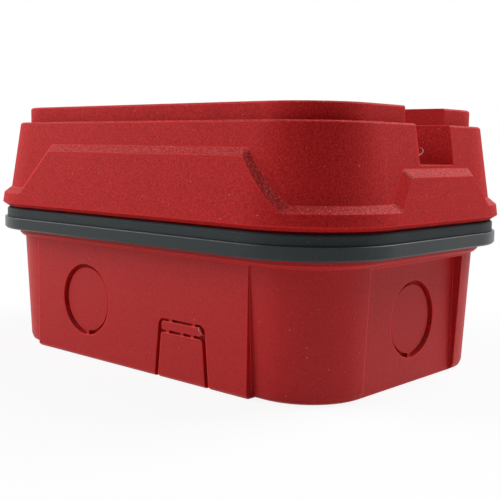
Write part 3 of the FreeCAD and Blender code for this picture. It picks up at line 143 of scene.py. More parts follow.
class Graph:
    """Node tree of one material or world."""

    def __init__(self, owner: bpy.types.Material | bpy.types.World) -> None:
        """Start an empty tree.

        Args:
            owner: Material or world that the tree belongs to.
        """
        self.owner = owner
        owner.use_nodes = True
        self.tree = owner.node_tree
        self.tree.nodes.clear()

    @classmethod
    def of_material(cls, name: str) -> "Graph":
        """Start the tree of a new material."""
        return cls(bpy.data.materials.new(name))

    def node(
        self,
        kind: str,
        settings: dict[str, object] | None = None,
        inputs: dict[str | int, object] | None = None,
        output: str | int = 0,
    ) -> Value:
        """Add any node.

        Args:
            kind: Node type.
            settings: Properties, which are set before the sockets.
            inputs: Values or links by socket name or number.
            output: Output socket that the result carries.

        Returns:
            The chosen output.
        """
        made = self.tree.nodes.new(kind)
        for key, setting in (settings or {}).items():
            setattr(made, key, setting)
        for key, given in (inputs or {}).items():
            if isinstance(given, Value):
                self.tree.links.new(given.socket, made.inputs[key])
            elif isinstance(given, tuple) and made.inputs[key].type == "RGBA" and len(given) == 3:
                made.inputs[key].default_value = (*given, 1.0)
            else:
                made.inputs[key].default_value = given
        return Value(self, made.outputs[output])

    def place(self, scale: float = 1.0, stretch: Point = (1.0, 1.0, 1.0)) -> Value:
        """Place on the object in millimetres.

        Args:
            scale: Factor on all three directions.
            stretch: Extra factor on each direction.

        Returns:
            The scaled place as a vector.
        """
        here = self.node("ShaderNodeTexCoord", output="Object")
        factors = tuple(scale * factor / MM for factor in stretch)
        return self.node("ShaderNodeVectorMath", {"operation": "MULTIPLY"}, {0: here, 1: factors})

    def facing(self) -> dict[str, Value]:
        """Find the surface direction in the object's own frame.

        Returns:
            Its parts, by the names "X", "Y" and "Z".
        """
        normal = self.node("ShaderNodeTexCoord", output="Normal")
        return {
            axis: self.node("ShaderNodeSeparateXYZ", inputs={0: normal}, output=axis) for axis in "XYZ"
        }

    def noise(
        self, scale: float, detail: float = 2.0, rough: float = 0.5, stretch: Point = (1.0, 1.0, 1.0),
    ) -> Value:
        """Soft noise with a given number of cells per millimetre.

        Args:
            scale: Cells per millimetre.
            detail: Octaves.
            rough: Share of the finer octaves.
            stretch: Extra factor on each direction.

        Returns:
            Noise around 0.5.
        """
        inputs = {"Vector": self.place(scale, stretch), "Scale": 1.0, "Detail": detail, "Roughness": rough}
        return self.node("ShaderNodeTexNoise", {"noise_dimensions": "3D"}, inputs, 0)

    def dots(self, dots: Dots) -> Value:
        """Scatter round dots with soft edges.

        Args:
            dots: Their spacing, share and size.

        Returns:
            Mask that is 1 inside the dots.
        """
        soft_core, pick_blur = 0.4, 0.02
        inputs = {"Vector": self.place(dots.per_mm), "Scale": 1.0}
        near = self.node("ShaderNodeTexVoronoi", {"feature": "F1"}, inputs, "Distance")
        pick = self.node("ShaderNodeTexVoronoi", {"feature": "F1"}, inputs, "Color")
        chosen = self.node("ShaderNodeSeparateColor", inputs={0: pick}, output=0)
        first_picked = 1.0 - dots.share
        inside = near.rise(dots.size, dots.size * soft_core)
        return inside * chosen.rise(first_picked, first_picked + pick_blur)

    def mix(self, factor: Value | float, first: Value | Colour, second: Value | Colour) -> Value:
        """Blend two colours.

        Args:
            factor: Share of the second colour.
            first: Colour at 0.
            second: Colour at 1.

        Returns:
            The blended colour.
        """
        settings = {"data_type": "RGBA", "blend_type": "MIX", "clamp_factor": True}
        return self.node("ShaderNodeMix", settings, {0: factor, 6: first, 7: second}, 2)

    def soft_edge(self, radius: float) -> tuple[Value, Value]:
        """Surface direction with its sharp edges rounded off.

        Args:
            radius: Radius of the rounding in metres.

        Returns:
            The rounded direction, and a mask that is 1 on the edges.
        """
        rounded = self.node("ShaderNodeBevel", {"samples": 6}, {"Radius": radius})
        plain = self.node("ShaderNodeNewGeometry", output="Normal")
        settings = {"operation": "DOT_PRODUCT"}
        along = self.node("ShaderNodeVectorMath", settings, {0: rounded, 1: plain}, "Value")
        flat, edge = 0.992, 0.93
        return rounded, along.rise(flat, edge)

    def bump(self, height: Value, depth: float, strength: float, normal: Value | None = None) -> Value:
        """Fine relief.

        Args:
            height: Height between 0 and 1.
            depth: Depth of the relief in metres.
            strength: Strength of the relief.
            normal: Direction that the relief stands on.

        Returns:
            The relieved direction.
        """
        inputs: dict[str | int, object] = {"Height": height, "Distance": depth, "Strength": strength}
        if normal is not None:
            inputs["Normal"] = normal
        return self.node("ShaderNodeBump", inputs=inputs, output="Normal")

    def surface(self, **inputs: object) -> bpy.types.Material:
        """Finish the material with a Principled surface.

        Args:
            **inputs: Its sockets, with _ for a space.

        Returns:
            The finished material.
        """
        sockets = {key.replace("_", " "): given for key, given in inputs.items()}
        shader = self.node("ShaderNodeBsdfPrincipled", inputs=sockets)
        return self.output(shader)

    def output(self, shader: Value) -> bpy.types.Material | bpy.types.World:
        """Join a shader to the tree's output.

        Args:
            shader: Shader of the surface or of the sky.

        Returns:
            The finished material or world.
        """
        in_world = isinstance(self.owner, bpy.types.World)
        end = self.tree.nodes.new("ShaderNodeOutputWorld" if in_world else "ShaderNodeOutputMaterial")
        self.tree.links.new(shader.socket, end.inputs["Surface"])
        return self.owner


@dataclass(frozen=True)
class TexturedShell:
    """Spark-textured red plastic: fine grain, tiny pale specks, and painted highlights: lighter edges and
    up-facing slants, and coarser pale sparkle on the up-facing chamfers that is partly speck texture and
    partly painted glints.
    """

    name: str = "textured red shell"
    colour: Colour = (0.53, 0.014, 0.014)
    deep: Colour = (0.32, 0.006, 0.007)
    # pale is the colour of the real specks and also of the painted highlight on up-facing chamfers
    pale: Colour = (0.86, 0.34, 0.33)
    # edge is a painted highlight colour: the bright red laid on the edges and on up-facing slants
    edge: Colour = (0.95, 0.028, 0.026)
    grain_per_mm: float = 1.9
    cloud_per_mm: float = 0.06
    contrast: float = 1.0
    relief: float = 0.14
    roughness: float = 0.78
    specular: float = 0.14
    edge_radius: float = 0.40 * MM
    tone_spread: float = 0.14
    cloud_share: float = 0.12
    # painted highlight: share of edge red laid over up-facing slants
    painted_slant_light: float = 0.42
    # painted highlight: share of pale laid over up-facing chamfers
    painted_chamfer_light: float = 0.12
    # coarse sparkle shows only on up-facing chamfers: partly speck texture, partly painted glints
    coarse_sparkle: Dots = Dots(per_mm=2.1, share=0.34, size=0.40)
    coarse_shown: float = 0.5
    fine_sparkle: Dots = Dots(per_mm=1.7, share=0.16, size=0.30)
    fine_shown: float = 0.12
    rare_sparkle: Dots = Dots(per_mm=0.8, share=0.05, size=0.16)
    rare_shown: float = 0.6
    slant_begins: Span = (0.24, 0.34)
    slant_ends: Span = (0.93, 0.80)
    chamfer_begins: Span = (0.46, 0.58)

    def material(self) -> bpy.types.Material:
        """Build the material.

        Returns:
            The finished material.
        """
        graph = Graph.of_material(self.name)
        grain = graph.noise(self.grain_per_mm, 3.0, 0.75)
        cloud = graph.noise(self.cloud_per_mm, 1.0)
        spread = self.tone_spread / self.contrast
        tone = grain.rise(0.5 - spread, 0.5 + spread)
        base = graph.mix(tone, self.deep, self.colour)
        base = graph.mix(cloud.rise(0.25, 0.8) * self.cloud_share, base, self.deep)
        # Slants and chamfers are picked by how far the surface faces up; the painted highlight below
        # lightens them.
        slope = graph.facing()["Z"]
        slant = slope.rise(*self.slant_begins) * slope.rise(*self.slant_ends)
        chamfer = slant * slope.rise(*self.chamfer_begins)
        coarse = graph.dots(self.coarse_sparkle)
        fine = graph.dots(self.fine_sparkle)
        rare = graph.dots(self.rare_sparkle)
        # sparkle: real specks everywhere, plus painted glints only on up-facing chamfers
        sparkle = (coarse * chamfer * self.coarse_shown).maximum(rare * self.rare_shown)
        sparkle = sparkle.maximum(fine * self.contrast * self.fine_shown)
        # painted highlight: up-facing slants lightened towards the edge red
        base = graph.mix(slant * (1.0 - chamfer) * self.painted_slant_light, base, self.edge)
        # painted highlight: up-facing chamfers lightened towards pale, along with the specks
        base = graph.mix(sparkle.maximum(chamfer * tone * self.painted_chamfer_light), base, self.pale)
        rounded, edges = graph.soft_edge(self.edge_radius)
        # painted highlight: the edges lightened to the bright edge red
        base = graph.mix(edges, base, self.edge)
        height = grain * 0.9 + coarse * chamfer * 0.6 + fine * 0.3
        normal = graph.bump(height, self.relief * MM, 0.7, rounded)
        rough = grain * -0.16 + self.roughness
        return graph.surface(
            Base_Color=base, Roughness=rough, Normal=normal, Specular_IOR_Level=self.specular,
        )


@dataclass(frozen=True)
class MouldedPlastic:
    """Moulded plastic or rubber with a fine grain, dust specks and softened edges, which a painted
    highlight lightens.
    """

    name: str
    colour: Colour
    shade: Colour
    # colour of the dust specks and also of the painted highlight on the edges
    speck_and_highlight: Colour = (0.55, 0.56, 0.55)
    speck_share: float = 0.03
    grain_per_mm: float = 2.4
    cloud_per_mm: float = 0.09
    roughness: float = 0.45
    specular: float = 0.5
    relief: float = 0.03
    edge_radius: float = 0.3 * MM
    # painted highlight: share by which the edges are lightened towards the speck colour
    painted_edge_highlight: float = 0.25
    coat: float = 0.0

    def material(self) -> bpy.types.Material:
        """Build the material.

        Returns:
            The finished material.
        """
        graph = Graph.of_material(self.name)
        grain = graph.noise(self.grain_per_mm, 3.0, 0.6)
        cloud = graph.noise(self.cloud_per_mm, 2.0)
        base = graph.mix(grain.rise(0.3, 0.7), self.shade, self.colour)
        base = graph.mix(cloud.rise(0.35, 0.75) * 0.25, base, self.shade)
        specks = graph.dots(Dots(per_mm=1.5, share=self.speck_share, size=0.15))
        base = graph.mix(specks * 0.5, base, self.speck_and_highlight)
        rounded, edges = graph.soft_edge(self.edge_radius)
        # painted highlight: the edges lightened towards the speck colour
        base = graph.mix(edges * self.painted_edge_highlight, base, self.speck_and_highlight)
        normal = graph.bump(grain, self.relief * MM, 0.5, rounded)
        rough = cloud * 0.12 + grain * 0.08 + (self.roughness - 0.10)
        return graph.surface(
            Base_Color=base, Roughness=rough, Normal=normal, Specular_IOR_Level=self.specular,
            Coat_Weight=self.coat, Coat_Roughness=0.2,
        )


@dataclass(frozen=True)
class PlatedMetal:
    """Plated or bare metal with fine turning lines, patchy tone and scuffs."""

    name: str
    colour: Colour
    shade: Colour
    roughness: float = 0.28
    stretch: Point = (1.0, 1.0, 7.0)
    scuff_colour: Colour = (0.92, 0.92, 0.90)
    edge_radius: float = 0.12 * MM
    line_depth: float = 0.012 * MM

    def material(self) -> bpy.types.Material:
        """Build the material.

        Returns:
            The finished material.
        """
        graph = Graph.of_material(self.name)
        lines = graph.noise(1.6, 3.0, 0.6, self.stretch)
        patch = graph.noise(0.35, 2.0)
        scuff = graph.noise(5.0, 2.0, 0.7, (0.25, 1.0, 1.0)).rise(0.66, 0.76)
        base = graph.mix(patch.rise(0.35, 0.7), self.shade, self.colour)
        base = graph.mix(scuff * 0.4, base, self.scuff_colour)
        rounded, _ = graph.soft_edge(self.edge_radius)
        normal = graph.bump(lines, self.line_depth, 0.45, rounded)
        rough = lines * 0.14 + scuff * 0.12 + (self.roughness - 0.05)
        return graph.surface(Base_Color=base, Metallic=1.0, Roughness=rough, Normal=normal)


@dataclass(frozen=True)
class ClearPlastic:
    """Tinted clear plastic with a fine inner haze."""

    name: str
    colour: Colour
    roughness: float = 0.12

    def material(self) -> bpy.types.Material:
        """Build the material.

        Returns:
            The finished material.
        """
        graph = Graph.of_material(self.name)
        haze = graph.noise(0.8, 2.0)
        dark = tuple(0.6 * part for part in self.colour)
        base = graph.mix(haze.rise(0.3, 0.7) * 0.35, self.colour, dark)
        normal = graph.bump(haze, 0.02 * MM, 0.2)
        rough = haze * 0.1 + self.roughness
        return graph.surface(
            Base_Color=base, Roughness=rough, Normal=normal, Transmission_Weight=0.45, IOR=1.49,
        )


@dataclass(frozen=True)
class BoardLacquer:
    """Green board lacquer over copper tracks, with tinned pads."""

    name: str = "board lacquer"
    colour: Colour = (0.020, 0.120, 0.045)
    track: Colour = (0.045, 0.210, 0.080)
    pad: Colour = (0.62, 0.60, 0.56)
    pads: Dots = Dots(per_mm=0.28, share=0.5, size=0.24)

    def material(self) -> bpy.types.Material:
        """Build the material.

        Returns:
            The finished material.
        """
        graph = Graph.of_material(self.name)
        inputs = {"Vector": graph.place(0.16, (1.0, 1.6, 0.2)), "Scale": 1.0}
        cells = graph.node("ShaderNodeTexVoronoi", {"feature": "DISTANCE_TO_EDGE"}, inputs, "Distance")
        tracks = cells.rise(0.16, 0.12)
        pads = graph.dots(self.pads)
        grain = graph.noise(2.0, 2.0)
        base = graph.mix(tracks * 0.8, self.colour, self.track)
        base = graph.mix(pads, base, self.pad)
        normal = graph.bump(tracks * 0.6 + pads + grain * 0.2, 0.05 * MM, 0.5)
        rough = grain * 0.12 + pads * 0.1 + 0.26
        return graph.surface(Base_Color=base, Roughness=rough, Normal=normal, Metallic=pads * 0.8)


@dataclass(frozen=True)
class WindingTape:
    """Yellow polyester tape wound over copper, with its lap lines."""

    name: str = "winding tape"
    colour: Colour = (0.72, 0.46, 0.05)
    shade: Colour = (0.42, 0.22, 0.03)

    def material(self) -> bpy.types.Material:
        """Build the material.

        Returns:
            The finished material.
        """
        graph = Graph.of_material(self.name)
        inputs = {"Vector": graph.place(0.9, (0.1, 1.0, 0.1)), "Scale": 1.0, "Distortion": 0.4}
        laps = graph.node("ShaderNodeTexWave", {"wave_type": "BANDS", "bands_direction": "Y"}, inputs, 1)
        dirt = graph.noise(0.5, 3.0)
        base = graph.mix(laps.rise(0.1, 0.9) * 0.5, self.colour, self.shade)
        base = graph.mix(dirt.rise(0.5, 0.9) * 0.3, base, self.shade)
        normal = graph.bump(laps + dirt * 0.3, 0.05 * MM, 0.4)
        return graph.surface(Base_Color=base, Roughness=dirt * 0.2 + 0.25, Normal=normal)


class Finish(Enum):
    """Finishes that the pieces are dressed in."""

    SHELL = TexturedShell()
    BOX = TexturedShell(
        "smoother red box", colour=(0.50, 0.016, 0.017), deep=(0.37, 0.010, 0.011),
        contrast=0.7, relief=0.05, roughness=0.58, specular=0.20,
    )
    LOWER_RING = MouldedPlastic(
        "lower ring plastic", colour=(0.026, 0.033, 0.033), shade=(0.017, 0.023, 0.023),
        roughness=0.32, speck_share=0.02, specular=0.24, relief=0.008, painted_edge_highlight=0.0,
    )
    UPPER_RING = MouldedPlastic(
        "upper ring rubber", colour=(0.023, 0.030, 0.032), shade=(0.013, 0.018, 0.020),
        roughness=0.62, speck_share=0.08, specular=0.2, relief=0.05, painted_edge_highlight=0.0,
    )
    BLACK = MouldedPlastic("black plastic", (0.022, 0.022, 0.024), (0.010, 0.010, 0.011), roughness=0.35)
    ROCKER = MouldedPlastic("rocker plastic", (0.030, 0.030, 0.033), (0.016, 0.016, 0.018), roughness=0.42)
    SEAL = MouldedPlastic("seal rubber", (0.020, 0.020, 0.020), (0.010, 0.010, 0.010), roughness=0.7)
    CAPACITOR = MouldedPlastic("capacitor case", (0.62, 0.62, 0.58), (0.48, 0.48, 0.45), roughness=0.3)
    CERAMIC = MouldedPlastic(
        "dipped coating", colour=(0.030, 0.105, 0.33), shade=(0.016, 0.060, 0.21), roughness=0.22, coat=0.4,
    )
    BLOCK = MouldedPlastic(
        "terminal block nylon", colour=(0.060, 0.230, 0.080), shade=(0.035, 0.150, 0.050), roughness=0.4,
    )
    FERRITE = MouldedPlastic(
        "sintered ferrite", colour=(0.060, 0.060, 0.064), shade=(0.028, 0.028, 0.031),
        roughness=0.55, relief=0.08,
    )
    FENCE_KNOB = MouldedPlastic(
        "fence knob plastic", colour=(0.52, 0.016, 0.014), shade=(0.36, 0.008, 0.008),
        roughness=0.34, specular=0.2, painted_edge_highlight=0.08, coat=0.1,
    )
    EARTH_KNOB = MouldedPlastic(
        "earth knob plastic", colour=(0.014, 0.200, 0.050), shade=(0.008, 0.120, 0.030),
        roughness=0.34, specular=0.2, painted_edge_highlight=0.08, coat=0.1,
    )
    STEEL = PlatedMetal("zinc plated steel", (0.66, 0.66, 0.65), (0.44, 0.45, 0.47))
    STAINLESS = PlatedMetal("stainless steel", (0.62, 0.61, 0.59), (0.46, 0.45, 0.44), roughness=0.24)
    BRASS = PlatedMetal("turned brass", (0.74, 0.55, 0.24), (0.52, 0.36, 0.13))
    ALUMINIUM = PlatedMetal(
        "extruded aluminium", colour=(0.76, 0.77, 0.78), shade=(0.58, 0.59, 0.61), stretch=(6.0, 1.0, 1.0),
    )
    LENS = ClearPlastic("amber lens", (0.95, 0.40, 0.05))
    LAMP = ClearPlastic("red lamp body", (0.80, 0.06, 0.03))
    MARK = MouldedPlastic("white switch print", (0.80, 0.80, 0.77), (0.66, 0.66, 0.63), roughness=0.5)
    # painted highlight: the flash curls are coloured pale like the bright glints they stand for
    PALE_FLASH_HIGHLIGHT = MouldedPlastic("moulding flash painted pale highlight", (0.86, 0.50, 0.47), (0.66, 0.22, 0.20), roughness=0.45)
    BOARD = BoardLacquer()
    TAPE = WindingTape()


class Wardrobe:
    """Builds each finish once and dresses pieces in it."""

    def __init__(self) -> None:
        """Start with nothing built."""
        self.built: dict[Finish, bpy.types.Material] = {}

    def dress(self, piece: bpy.types.Object, finish: Finish) -> None:
        """Give a piece one finish all over.

        Args:
            piece: Mesh object.
            finish: Finish to wear.
        """
        if finish not in self.built:
            self.built[finish] = finish.value.material()
        if not piece.material_slots:
            piece.data.materials.append(self.built[finish])
        for slot in piece.material_slots:
            slot.material = self.built[finish]


@dataclass
class CadDressing:
    """CAD nodes that stay as they are, each with its finish."""

    wardrobe: Wardrobe
    finishes: dict[str, Finish] = field(default_factory=lambda: {
        "back_box": Finish.BOX,
        "front_housing": Finish.SHELL,
        "frame_ring": Finish.LOWER_RING,
        "seal_ring": Finish.UPPER_RING,
        "box_inserts": Finish.BRASS,
        "cover_screw_seals": Finish.SEAL,
        "chassis_plate": Finish.BLACK,
        "chassis_screws": Finish.STEEL,
        "circuit_board": Finish.BOARD,
        "board_screws": Finish.STEEL,
        "transformer_core": Finish.FERRITE,
        "transformer_bobbin": Finish.BLACK,
        "transformer_winding": Finish.TAPE,
        "storage_capacitor": Finish.CAPACITOR,
        "filter_capacitor": Finish.BLACK,
        "suppressor_disc": Finish.CERAMIC,
        "heat_sink": Finish.ALUMINIUM,
        "thyristor": Finish.BLACK,
        "output_resistor": Finish.CERAMIC,
        "supply_terminal_block": Finish.BLOCK,
        "supply_terminal_screws": Finish.STEEL,
        "switch_body": Finish.BLACK,
        "switch_rocker": Finish.ROCKER,
        "indicator_lamp": Finish.LAMP,
        "stud_washers": Finish.STEEL,
        "stud_nuts": Finish.STEEL,
        "fence_clamp_washer": Finish.STEEL,
        "earth_clamp_washer": Finish.STEEL,
    })

    def apply(self, nodes: dict[str, bpy.types.Object]) -> None:
        """Dress the CAD nodes that stay.

        Args:
            nodes: CAD nodes by name.
        """
        for name, finish in self.finishes.items():
            self.wardrobe.dress(nodes[name], finish)
            LOG.info("dressed %s in %s", name, finish.name)


class Skin:
    """Mesh of closed surfaces stretched over rings of points, in millimetres."""

    def __init__(self) -> None:
        """Start empty."""
        self.mesh = bmesh.new()

    def wrap(self, rows: Iterable[Sequence[Point]], looped: bool = False) -> None:
        """Stretch a surface over rings of points.

        Args:
            rows: Rings with the same number of points each.
            looped: Join the last ring to the first instead of capping both.
        """
        rings = [[self.mesh.verts.new(Vector(point) * MM) for point in row] for row in rows]
        following = rings[1:] + rings[:1] if looped else rings[1:]
        for ring, upper in zip(rings, following):
            for here in range(len(ring)):
                after = (here + 1) % len(ring)
                self.mesh.faces.new((ring[here], ring[after], upper[after], upper[here]))
        if not looped:
            self.mesh.faces.new(rings[0][::-1])
            self.mesh.faces.new(rings[-1])

    def turn(
        self, centre: tuple[float, float], profile: Iterable[tuple[float, float]], count: int,
        shaping: Shaping | None = None,
    ) -> None:
        """Turn a profile about an upright axis.

        Args:
            centre: Place of the axis.
            profile: Radius and height of each ring.
            count: Points in a ring.
            shaping: Gives a point's radius and height from its angle, radius and height.
        """
        rows = []
        for radius, height in profile:
            row = []
            for step in range(count):
                angle = math.tau * step / count
                out, up = shaping(angle, radius, height) if shaping else (radius, height)
                row.append((centre[0] + out * math.cos(angle), centre[1] + out * math.sin(angle), up))
            rows.append(row)
        self.wrap(rows)

    def piece(self, name: str, sharp: float = 32.0) -> bpy.types.Object:
        """Turn the surfaces into an object.

        Args:
            name: Name of the object.
            sharp: Angle in degrees above which an edge stays sharp.

        Returns:
            The object, at the origin.
        """
        bmesh.ops.recalc_face_normals(self.mesh, faces=self.mesh.faces)
        data = bpy.data.meshes.new(name)
        self.mesh.to_mesh(data)
        self.mesh.free()
        data.shade_smooth()
        data.set_sharp_from_angle(angle=math.radians(sharp))
        made = bpy.data.objects.new(name, data)
        bpy.context.scene.collection.objects.link(made)
        return made


@dataclass
class Fitting:
    """Piece made in mesh code, with the finish, slot and body that go with it."""

    name: str
    finish: Finish
    slot: str
    body: str = "energizer"
    stands_for: tuple[str, ...] = ()

    def shape(self, skin: Skin) -> None:
        """Draw the piece's surfaces."""
        raise NotImplementedError

    def fit(self, wardrobe: Wardrobe) -> None:
        """Build the piece, dress it and let it ride on its body.

        Args:
            wardrobe: Source of the finishes.
        """
        skin = Skin()
        self.shape(skin)
        piece = skin.piece(self.name)
        wardrobe.dress(piece, self.finish)
        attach(piece, self.body)
        if self.stands_for:
            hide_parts(*self.stands_for)
        LOG.info("built %s with %d faces", self.name, len(piece.data.polygons))


def thread(crest: float, depth: float, pitch: float, low: float, high: float) -> Shaping:
    """Shape a right-handed screw thread.

    Args:
        crest: Radius of the crest.
        depth: Depth of the groove.
        pitch: Pitch.
        low: Height at which the thread begins.
        high: Height at which it ends.

    Returns:
        Shaping for the shank's rings.
    """
    slack, steepness = 0.01, 1.25

    def shaping(angle: float, radius: float, height: float) -> tuple[float, float]:
        """Cut the groove where the shank is threaded.

        Args:
            angle: Angle of the point.
            radius: Its radius.
            height: Its height.

        Returns:
            The radius in the groove and the height.
        """
        if not low <= height <= high or radius < crest - slack:
            return radius, height
        phase = (height / pitch - angle / math.tau) % 1.0
        return crest - depth * min(1.0, steepness * abs(2.0 * phase - 1.0)), height

    return shaping


def steps(low: float, high: float, size: float) -> list[float]:
    """Evenly spaced numbers from low to high, about size apart."""
    count = max(1, round((high - low) / size))
    return [low + (high - low) * index / count for index in range(count + 1)]


@dataclass
class CoverScrews(Fitting):
    """Four long pan-head cover screws with a cross recess."""

    half_spacing: tuple[float, float] = (56.5, 31.5)
    seat: float = 73.0
    tip: float = 34.5
    head_radius: float = 3.8
    head_height: float = 3.0
    shank_radius: float = 2.0
    thread_top: float = 44.0
    thread_depth: float = 0.32
    thread_pitch: float = 0.7
    crown_drop: float = 0.45
    recess_reach: float = 2.15
    recess_depth: float = 1.8
    recess_wall: float = 0.14
    recess_taper: float = 0.6
    arm_half: float = 0.46

    def _recess(self, angle: float, radius: float, height: float) -> tuple[float, float]:
        """Sink the cross into the head.

        Args:
            angle: Angle of the point.
            radius: Its radius.
            height: Its height.

        Returns:
            The radius and the sunk height.
        """
        turned = angle - math.pi / 4
        across = min(abs(radius * math.cos(turned)), abs(radius * math.sin(turned)))
        arm = min(1.0, max(0.0, (self.arm_half - across) / self.recess_wall + 0.5))
        end = min(1.0, max(0.0, (self.recess_reach - radius) / self.recess_wall + 0.5))
        deep = self.recess_depth * (1.0 - self.recess_taper * radius / self.recess_reach)
        inside = height > self.seat + self.head_height * 0.6
        return radius, height - (deep * arm * end if inside else 0.0)

    def shape(self, skin: Skin) -> None:
        """Draw the four heads and shanks.

        Args:
            skin: Mesh to draw in.
        """
        rim = self.head_radius * 0.86
        top = self.seat + self.head_height
        crown = [(radius, top - self.crown_drop * (radius / rim) ** 2) for radius in steps(0.03, rim, 0.11)]
        side = [
            (rim + 0.22, top - 0.75), (self.head_radius - 0.1, self.seat + 1.0),
            (self.head_radius, self.seat),
        ]
        head = [*crown, *side, (1.0, self.seat)]
        cut = thread(
            self.shank_radius, self.thread_depth, self.thread_pitch, self.tip + 0.8, self.thread_top,
        )
        heights = steps(self.tip + 0.7, self.thread_top + 0.4, 0.12)
        shank = [(0.1, self.tip), (1.3, self.tip), *((self.shank_radius, height) for height in heights)]
        for side_x in (-1, 1):
            for side_y in (-1, 1):
                place = (side_x * self.half_spacing[0], side_y * self.half_spacing[1])
                skin.turn(place, head, 96, self._recess)
                skin.turn(place, [*shank, (self.shank_radius, self.seat + 0.5)], 24, cut)


@dataclass
class TerminalStud(Fitting):
    """Threaded terminal stud with its hexagonal head under the bay's floor."""

    place: tuple[float, float] = (37.5, -10.5)
    foot: float = 57.8
    shoulder: float = 61.2
    top: float = 76.3
    radius: float = 2.5
    across: float = 8.0
    pitch: float = 0.8
    groove: float = 0.40

    def _hexagon(self, angle: float, radius: float, height: float) -> tuple[float, float]:
        """Trim the head to its six flats."""
        flat = self.across / 2 / math.cos(angle % (math.pi / 3) - math.pi / 6)
        return min(radius, flat), height

    def shape(self, skin: Skin) -> None:
        """Draw the head and the threaded shank.

        Args:
            skin: Mesh to draw in.
        """
        corner = self.across / 2 / math.cos(math.pi / 6)
        head = [
            (0.1, self.foot), (self.across / 2 - 0.2, self.foot), (corner, self.foot + 0.35),
            (corner, self.shoulder - 0.25), (self.across / 2, self.shoulder), (1.0, self.shoulder),
        ]
        skin.turn(self.place, head, 96, self._hexagon)
        heights = steps(self.shoulder - 0.5, self.top - 0.5, self.pitch / 8)
        shank = [(0.1, self.shoulder - 1.0), *((self.radius, height) for height in heights)]
        shank += [(self.radius - 0.5, self.top), (0.1, self.top)]
        cut = thread(self.radius, self.groove, self.pitch, self.shoulder + 0.6, self.top - 0.5)
        skin.turn(self.place, shank, 40, cut)


@dataclass
class TerminalKnob(Fitting):
    """Fluted thumb knob with a dished top and a blind bore."""

    place: tuple[float, float] = (37.5, -10.5)
    foot: float = 69.95
    top: float = 77.9
    radius: float = 7.0
    bore: float = 2.6
    flutes: int = 10
    flute_radius: float = 1.5
    flute_reach: float = 7.825
    bore_roof: float = 1.2
    rounding: float = 0.9
    dish: tuple[tuple[float, float], ...] = ((5.5, 0.0), (5.2, 0.12), (4.9, 0.35), (4.5, 0.4))

    def _fluted(self, angle: float, radius: float, height: float) -> tuple[float, float]:
        """Hollow the flutes out of the rim.

        Args:
            angle: Angle of the point.
            radius: Its radius.
            height: Its height.

        Returns:
            The trimmed radius and the height.
        """
        pitch = math.tau / self.flutes
        away = (angle + pitch / 2) % pitch - pitch / 2
        offset = self.flute_reach * math.sin(away)
        if abs(offset) >= self.flute_radius:
            return radius, height
        hollow = self.flute_reach * math.cos(away) - math.sqrt(self.flute_radius ** 2 - offset ** 2)
        return min(radius, hollow), height

    def shape(self, skin: Skin) -> None:
        """Draw the knob from the bore's end, down, out and up over its top.

        Args:
            skin: Mesh to draw in.
        """
        roof = self.top - self.bore_roof
        inner = [(0.05, roof), (self.bore, roof), (self.bore, self.foot + 0.4)]
        under = [
            (self.bore + 0.4, self.foot), (self.radius - 0.5, self.foot), (self.radius, self.foot + 0.5),
        ]
        out, up = self.radius - self.rounding, self.top - self.rounding
        edge = [
            (out + self.rounding * math.cos(turn), up + self.rounding * math.sin(turn))
            for turn in (math.radians(angle) for angle in (0, 15, 30, 45, 60, 75, 90))
        ]
        dish = [(radius, self.top - drop) for radius, drop in self.dish]
        middle = (0.05, dish[-1][1])
        skin.turn(self.place, [*inner, *under, *edge, *dish, middle], 160, self._fluted)


@dataclass
class IndicatorLens(Fitting):
    """Domed lens with fine rings in its top."""

    place: tuple[float, float] = (-20.0, 0.0)
    foot: float = 76.8
    flange_foot: float = 80.2
    stem: float = 4.0
    flange: float = 5.4
    rim: float = 0.5
    rise: float = 1.0
    ring_pitch: float = 0.6
    ring_depth: float = 0.02

    def shape(self, skin: Skin) -> None:
        """Draw the stem, the flange and the dome.

        Args:
            skin: Mesh to draw in.
        """
        base = self.flange_foot + self.rim
        lower = [(0.1, self.foot), (self.stem - 0.3, self.foot), (self.stem, self.foot + 0.3)]
        lower += [(self.stem, self.flange_foot), (self.flange, self.flange_foot), (self.flange, base - 0.1)]
        dome = []
        for inward in steps(0.15, self.flange - 0.05, 0.1):
            radius = self.flange - inward
            ripple = self.ring_depth * (math.cos(math.tau * radius / self.ring_pitch) - 1.0)
            dome.append((radius, base + self.rise * (1.0 - (radius / self.flange) ** 2) + ripple))
        skin.turn(self.place, [*lower, *dome], 96)


